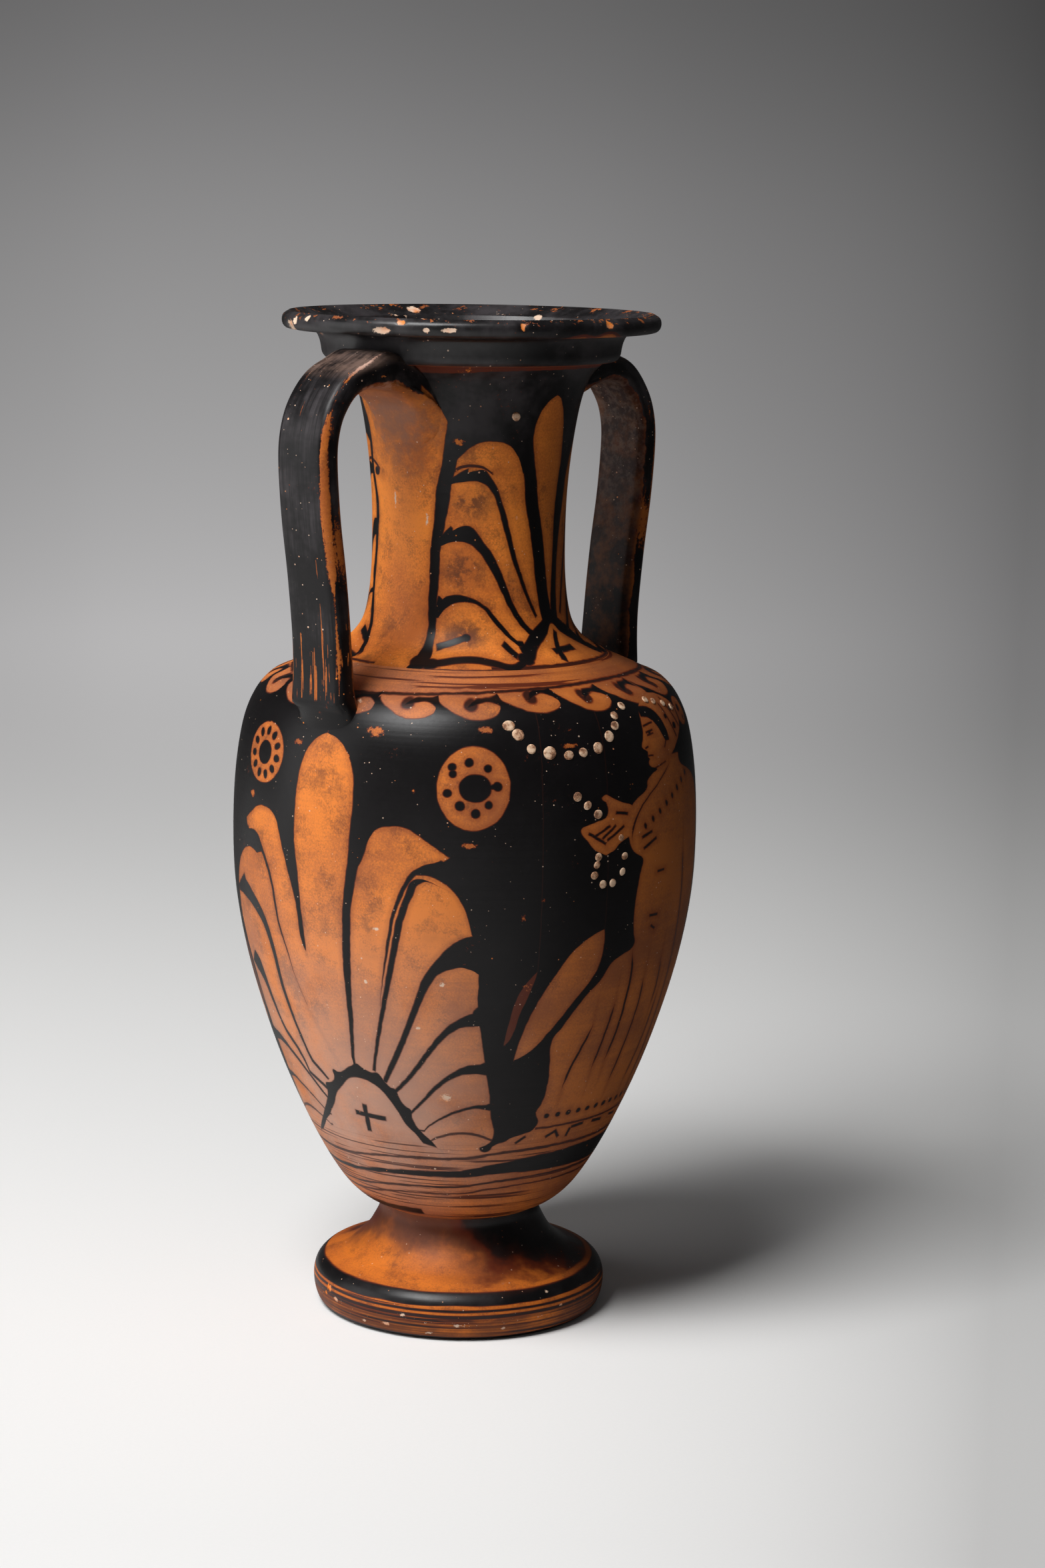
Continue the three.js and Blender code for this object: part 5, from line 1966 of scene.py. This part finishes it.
@dataclass(frozen=True)
class Handle:
    """A pulled strap, from the neck over its crown and down to the shoulder."""

    side: Side
    width: float = 20.5
    thickness: float = 8.5
    corner: float = 3.0
    bow: float = 7.7
    root_flare: float = 7.0
    steps: int = 54
    corner_steps: int = 4
    smoothing: int = 2

    def line(self) -> Outline:
        """The strap's middle line, from inside the neck's wall to inside the shoulder."""
        neck_root = Neck().outside().at(0.87)
        shoulder_root = Body().outside().at(0.868)
        reach = shoulder_root[0] + self.bow
        crown = NECK_Z + Neck.height + self.side.crown - self.thickness / 2
        arch = [
            (lerp(neck_root[0], reach, r), lerp(neck_root[1], crown, z))
            for r, z in ((0.145, 0.49), (0.44, 0.97), (0.72, 0.7))
        ]
        run = [
            (lerp(shoulder_root[0], reach, r), lerp(shoulder_root[1], crown, z))
            for r, z in ((0.49, 0.903), (0.91, 0.829), (1, 0.745), (0.8, 0.587), (0.43, 0.42),
                         (0.14, 0.25), (0.02, 0.12))
        ]
        first = (neck_root[0] - 3, neck_root[1] - 3)
        tail = [(shoulder_root[0] - 0.4, shoulder_root[1] - 4),
            (shoulder_root[0] - 1.6, shoulder_root[1] - 9)]
        return Outline([first, neck_root, *arch, *run, shoulder_root, *tail])

    def spread(self, share: float) -> tuple[float, float]:
        """How much wider and how much thicker the strap is at a share of its length."""
        wide = 1 - ease(share, 0, 0.28) + 0.4 * ease(share, 0.78, 0.98)
        thick = 1 - ease(share, 0, 0.09)
        return 1 + wide * self.root_flare / self.width, 1 + 0.22 * thick

    def build(self) -> Object:
        """Pulls the strap section by section along its line.

        Returns:
            The piece.
        """
        line = self.line()
        start_fresh()
        bpy.ops.mesh.primitive_plane_add(size=MM)
        obj = named(f"handle_{self.side.label}_pulled")
        bpy.ops.object.mode_set(mode="EDIT")
        bpy.ops.mesh.select_all(action="SELECT")
        bpy.ops.transform.resize(value=(self.thickness, self.width, 1), center_override=(0, 0, 0))
        bpy.ops.mesh.bevel(affect="VERTICES", offset=self.corner * MM, segments=self.corner_steps)
        bpy.ops.mesh.select_all(action="SELECT")
        (r, z), (tr, tz) = line.at(0), line.tangent(0.001)
        lean = math.atan2(tr, tz)
        self._turn(lean, (0, 0, 0))
        bpy.ops.transform.translate(value=(r * MM, 0, z * MM))
        wide, thick = self.spread(0)
        self._swell(wide, thick, lean, (r * MM, 0, z * MM))
        for i in range(1, self.steps + 1):
            share = i / self.steps
            (r1, z1), (tr, tz) = line.at(share), line.tangent(min(max(share, NEAR), 1 - NEAR))
            move = ((r1 - r) * MM, 0, (z1 - z) * MM)
            bpy.ops.mesh.extrude_region_move(TRANSFORM_OT_translate={"value": move})
            centre = (r1 * MM, 0, z1 * MM)
            lean_next = math.atan2(tr, tz)
            bend = (lean_next - lean + math.pi) % (2 * math.pi) - math.pi
            self._turn(bend, centre)
            wide_next, thick_next = self.spread(share)
            self._swell(wide_next / wide, thick_next / thick, lean_next, centre)
            r, z, lean, wide, thick = r1, z1, lean_next, wide_next, thick_next
        bpy.ops.mesh.select_all(action="SELECT")
        bpy.ops.mesh.normals_make_consistent(inside=False)
        bpy.ops.object.mode_set(mode="OBJECT")
        round_off = obj.modifiers.new("round_off", "SUBSURF")
        round_off.levels = round_off.render_levels = self.smoothing
        bpy.ops.object.modifier_apply(modifier=round_off.name)
        self._measure(obj, line)
        self._lute(obj, Body().outside(), (190.0, 217.0), 6.0, 3.2, 0.0)
        self._lute(obj, Neck().outside(), (262.0, 313.5), 26.0, 14.0, 12.0)
        bpy.ops.object.shade_smooth()
        obj.rotation_euler.z = math.radians(self.side.turn)
        settle(obj)
        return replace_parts(obj, f"handle_{self.side.label}")

    @staticmethod
    def _measure(obj: Object, line: Outline) -> None:
        """Notes on each vertex how far along, across and out of the strap it lies, in millimetres."""
        steps = line.spaced(1.5)
        stretch = line.length / (len(steps) - 1)
        notes = []
        for v in obj.data.vertices:
            x, z = v.co.x / MM, v.co.z / MM
            near = min(range(len(steps)), key=lambda i: (steps[i][0] - x) ** 2 + (steps[i][1] - z) ** 2)
            tr, tz = line.tangent(min(max(near / (len(steps) - 1), NEAR), 1 - NEAR))
            out = (z - steps[near][1]) * tr - (x - steps[near][0]) * tz
            notes += [near * stretch, v.co.y / MM, out]
        strap = obj.data.attributes.new("strap", "FLOAT_VECTOR", "POINT")
        strap.data.foreach_set("vector", notes)

    @staticmethod
    def _lute(
        obj: Object, wall: Outline, band: Point, reach: float, push: float, melt: float,
    ) -> None:
        """Draws the clay of a root out over the wall, and sinks the strap's tail into it.

        Args:
            obj: the strap.
            wall: the wall's outline.
            band: the lowest and the highest place of the root.
            reach: how far off the wall the clay starts to spread.
            push: how far it spreads at the wall.
            melt: how far off the wall it starts to flow into it.
        """
        steps = [i / 400 for i in range(401) if band[0] <= wall.at(i / 400)[1] <= band[1]]
        places = [(wall.at(i), wall.tangent(i)) for i in steps]
        normals = [v.normal.copy() for v in obj.data.vertices]
        for v, normal in zip(obj.data.vertices, normals):
            rho, z = math.hypot(v.co.x, v.co.y) / MM, v.co.z / MM
            if not band[0] - 4 < z < band[1] + reach:
                continue
            (r0, z0), (tr, tz) = min(places, key=lambda p: (p[0][0] - rho) ** 2 + (p[0][1] - z) ** 2)
            off = (rho - r0) * tz - (z - z0) * tr
            if off >= reach:
                continue
            away = Vector((v.co.x, v.co.y, 0)).normalized() * tz + Vector((0, 0, -tr))
            slide = normal - away * normal.dot(away)
            slide.y *= 0.45
            if slide.z > 0:
                slide *= 2.0 / push
            v.co += slide * (push * (1 - max(off, 0.0) / reach) ** 4 * MM)
            if 0 < off < melt:
                v.co -= away * (off * (1 - ease(off, 0.0, melt)) * MM)
            edge = (v.co.y / MM / TAIL_HALF) ** 2 * TAIL_BOW
            sunk = 1 - ease(z, TAIL_END + edge, TAIL_START + edge)
            if sunk > 0 and off > -0.5:
                v.co -= away * (sunk * (off + 0.5) * MM)

    @staticmethod
    def _turn(angle: float, centre: tuple[float, float, float]) -> None:
        """Turns what is selected about Y; with no window the operator's sign is the other way."""
        bpy.ops.transform.rotate(
            value=-angle, orient_axis="Y", orient_type="GLOBAL", center_override=centre
        )

    @staticmethod
    def _swell(wide: float, thick: float, lean: float, centre: tuple[float, float, float]) -> None:
        """Widens what is selected along Y, and thickens it across its lean."""
        if abs(wide - 1) < 1e-6 and abs(thick - 1) < 1e-6:
            return
        axes = Matrix(
            ((math.cos(lean), 0, math.sin(lean)), (0, 1, 0), (-math.sin(lean), 0, math.cos(lean)))
        )
        bpy.ops.transform.resize(
            value=(thick, wide, 1), orient_type="GLOBAL", orient_matrix=axes,
            orient_matrix_type="GLOBAL", center_override=centre,
        )


# Stage ------------------------------------------------------------------------------------------


@dataclass(frozen=True)
class Studio:
    """The camera, the pale floor with its backdrop, and the soft lights.

    The camera's sizes are in millimetres and degrees, and the floor's in metres.
    """

    lens: float = 80.05
    distance: float = 1127.4
    height: float = 377.1
    bearing: float = 220.0
    pitch: float = 10.15
    roll: float = 0.8
    axis_pixel: float = 698.0
    picture: tuple[int, int] = (1568, 2352)
    sensor: float = 36.0
    floor_size: tuple[float, float] = (4.4, 7.0)
    sweep_radius: float = 0.6
    sweep_steps: int = 12
    backdrop: float = 1.4
    room_light: float = 0.11

    def place_camera(self) -> Object:
        """Sets the camera where the photograph was taken from.

        Returns:
            The camera.
        """
        start_fresh()
        turn = math.radians(self.bearing)
        place = Vector((math.cos(turn) * self.distance, math.sin(turn) * self.distance, self.height)) * MM
        bpy.ops.object.camera_add(location=place)
        camera = named("camera")
        down = math.radians(self.pitch)
        ahead = Vector((-math.cos(turn) * math.cos(down), -math.sin(turn) * math.cos(down), -math.sin(down)))
        look = ahead.to_track_quat("-Z", "Y").to_matrix() @ Matrix.Rotation(math.radians(self.roll), 3, "Z")
        camera.rotation_euler = look.to_euler()
        camera.data.lens = self.lens
        camera.data.sensor_width = self.sensor
        camera.data.shift_x = (self.picture[0] / 2 - self.axis_pixel) / self.picture[1]
        bpy.context.scene.camera = camera
        return camera

    def lay_floor(self) -> Object:
        """Lays one sweep behind the jar: a floor that curves up into the backdrop.

        Returns:
            The floor.
        """
        start_fresh()
        bpy.ops.mesh.primitive_plane_add(size=1)
        floor = named("floor")
        bpy.ops.object.mode_set(mode="EDIT")
        bpy.ops.mesh.select_all(action="SELECT")
        bpy.ops.transform.resize(value=(*self.floor_size, 1), center_override=(0, 0, 0))
        bpy.ops.mesh.select_all(action="DESELECT")
        bpy.ops.object.mode_set(mode="OBJECT")
        for v in floor.data.vertices:
            v.select = v.co.x > 1
        bpy.ops.object.mode_set(mode="EDIT")
        bend, radius = math.pi / 2 / self.sweep_steps, self.sweep_radius
        for i in range(self.sweep_steps):
            a, b = bend * i, bend * (i + 1)
            step = (radius * (math.sin(b) - math.sin(a)), 0, radius * (math.cos(a) - math.cos(b)))
            bpy.ops.mesh.extrude_region_move(TRANSFORM_OT_translate={"value": step})
        bpy.ops.mesh.extrude_region_move(TRANSFORM_OT_translate={"value": (0, 0, self.backdrop)})
        bpy.ops.object.mode_set(mode="OBJECT")
        bpy.ops.object.shade_smooth()
        floor.rotation_euler.z = math.radians(self.bearing - 180)
        settle(floor)
        floor.data.materials.append(paper(self.bearing))
        return floor

    def light(self) -> None:
        """Hangs the soft lights, and sets a world that is pale to the eye and dim as a light."""
        self._softbox("key", (-0.98, 0.034, 1.65), (0, 0, 0.14), 0.8, 38)
        self._softbox("side", (-1.3, 1.1, 0.4), (0, 0, 0.12), 1.3, 9)
        self._softbox("fill", (-1.5, -0.6, 0.4), (0, 0, 0.16), 1.0, 0.4)
        world = bpy.data.worlds.new("studio")
        world.use_nodes = True
        air = world.node_tree.nodes["Background"]
        air.inputs["Color"].default_value = srgb(176, 175, 176)
        sight = world.node_tree.nodes.new("ShaderNodeLightPath")
        dim = world.node_tree.nodes.new("ShaderNodeMapRange")
        dim.inputs["To Min"].default_value = self.room_light
        world.node_tree.links.new(sight.outputs["Is Camera Ray"], dim.inputs["Value"])
        world.node_tree.links.new(dim.outputs[0], air.inputs["Strength"])
        bpy.context.scene.world = world

    @staticmethod
    def _softbox(
        name: str, place: tuple[float, float, float], aim: tuple[float, float, float],
        size: float, power: float,
    ) -> None:
        """Hangs one square softbox, turned to what it lights."""
        start_fresh()
        bpy.ops.object.light_add(type="AREA", location=place)
        lamp = bpy.context.object
        lamp.name = name
        lamp.data.energy = power
        lamp.data.size = size
        lamp.rotation_euler = (Vector(aim) - Vector(place)).to_track_quat("-Z", "Y").to_euler()


PAPER_EYE_BACK = 1.13  # How far from the jar the main camera stands, in metres.
PAPER_EYE_UP = 0.377  # How high it stands.
PAPER_EYE_NEAR = 0.35  # The least distance from it that the tone is worked out for.


def paper(bearing: float) -> Material:
    """The sweep's paper: white in front, and greyer up the backdrop and towards the right, as painted falloff
    of the light.

    Its tone is laid out from the main camera's place, as a picture seen from there, by fixed numbers.
    From anywhere else it stays where it is on the paper, and looks less like plain paper.

    Args:
        bearing: where the main camera stands, in degrees round the jar.

    Returns:
        The finish.
    """
    bench = Bench("pale_paper")
    where = bench.node("ShaderNodeTexCoord", {}, {}).outputs["Object"]
    turn = math.radians(bearing)
    back, aside, up = (
        Value(bench, bench.node(
            "ShaderNodeVectorMath", {"operation": "DOT_PRODUCT"}, {0: where, 1: axis}).outputs["Value"])
        for axis in ((-math.cos(turn), -math.sin(turn), 0), (-math.sin(turn), math.cos(turn), 0),
            (0, 0, 1)))
    away = bench.most(back + PAPER_EYE_BACK, PAPER_EYE_NEAR)
    down, off = (PAPER_EYE_UP - up) / away, aside / away
    tooth = bench.noise(where, 900.0, 2.0)
    seen = Value(bench, bench.node("ShaderNodeLightPath", {}, {}).outputs["Is Camera Ray"])
    bounce = bench.curve(back + aside, PAPER_BOUNCE)
    # The near paper's tone by these curves is painted falloff of the light.
    tone = bench.curve(down, PAPER_NEAR) * bench.curve(off, PAPER_NEAR_SHADE) * (0.985 + (tooth - 0.5) * 0.03)
    tone = tone * bench.most(seen, bounce)
    # The far backdrop glows with painted light, for camera rays only.
    glow = bench.curve(down, PAPER_FAR) * bench.curve(off, PAPER_FAR_SHADE)
    scaled = [
        bench.node("ShaderNodeVectorMath", {"operation": "SCALE"}, {0: white, "Scale": share}).outputs[0]
        for white, share in (((0.92, 0.915, 0.905), tone), ((1.0, 0.985, 0.99), glow))]
    sheet = bench.node("ShaderNodeBsdfPrincipled", {}, {"Base Color": scaled[0], "Roughness": 0.9})
    light = bench.node("ShaderNodeEmission", {}, {"Color": scaled[1]})
    share = bench.step(back, 0.5, 1.7) * seen
    both = bench.node("ShaderNodeMixShader", {}, {0: share, 1: sheet.outputs[0], 2: light.outputs[0]})
    bench.node("ShaderNodeOutputMaterial", {}, {"Surface": both.outputs[0]})
    return bench.material


PAPER_BOUNCE = ((-0.14, 1.0), (0.0, 0.5), (0.16, 0.2))
PAPER_NEAR = ((0.12, 0.92), (0.2, 0.96), (0.27, 0.97), (0.33, 0.97), (0.37, 0.94), (0.41, 0.9))
PAPER_NEAR_SHADE = ((-0.15, 1.0), (0.0, 1.0), (0.073, 0.94), (0.112, 0.86), (0.16, 0.68))
PAPER_FAR = ((-0.05, 0.15), (-0.037, 0.165), (0.02, 0.262), (0.086, 0.363), (0.152, 0.51), (0.218, 0.64),
    (0.3, 0.8))
PAPER_FAR_SHADE = ((-0.15, 0.86), (-0.12, 0.94), (-0.08, 1.0), (0.0, 0.9), (0.073, 0.71), (0.112, 0.6),
    (0.16, 0.39))


def main() -> None:
    """Builds the jar and its studio."""
    logging.basicConfig(level=logging.INFO, format="%(name)s: %(message)s")
    bpy.context.scene.view_settings.view_transform = "Standard"
    studio = Studio()
    studio.place_camera()
    studio.lay_floor()
    studio.light()
    put_on(Foot().build(), FootClay().material(), "foot_clay")
    put_on(Body().build(), BodyPaint().material(), "body_paint")
    put_on(Neck().build(), NeckPaint().material(), "neck_paint")
    put_on(Mouth().build(), MouthGloss().material(), "mouth_gloss")
    for side in Side:
        put_on(Handle(side).build(), HandleGloss(side).material(), "handle_gloss")
    put_on(AddedWhite().build(), AddedWhite.material(), "body_paint")


if __name__ == "__main__":
    main()
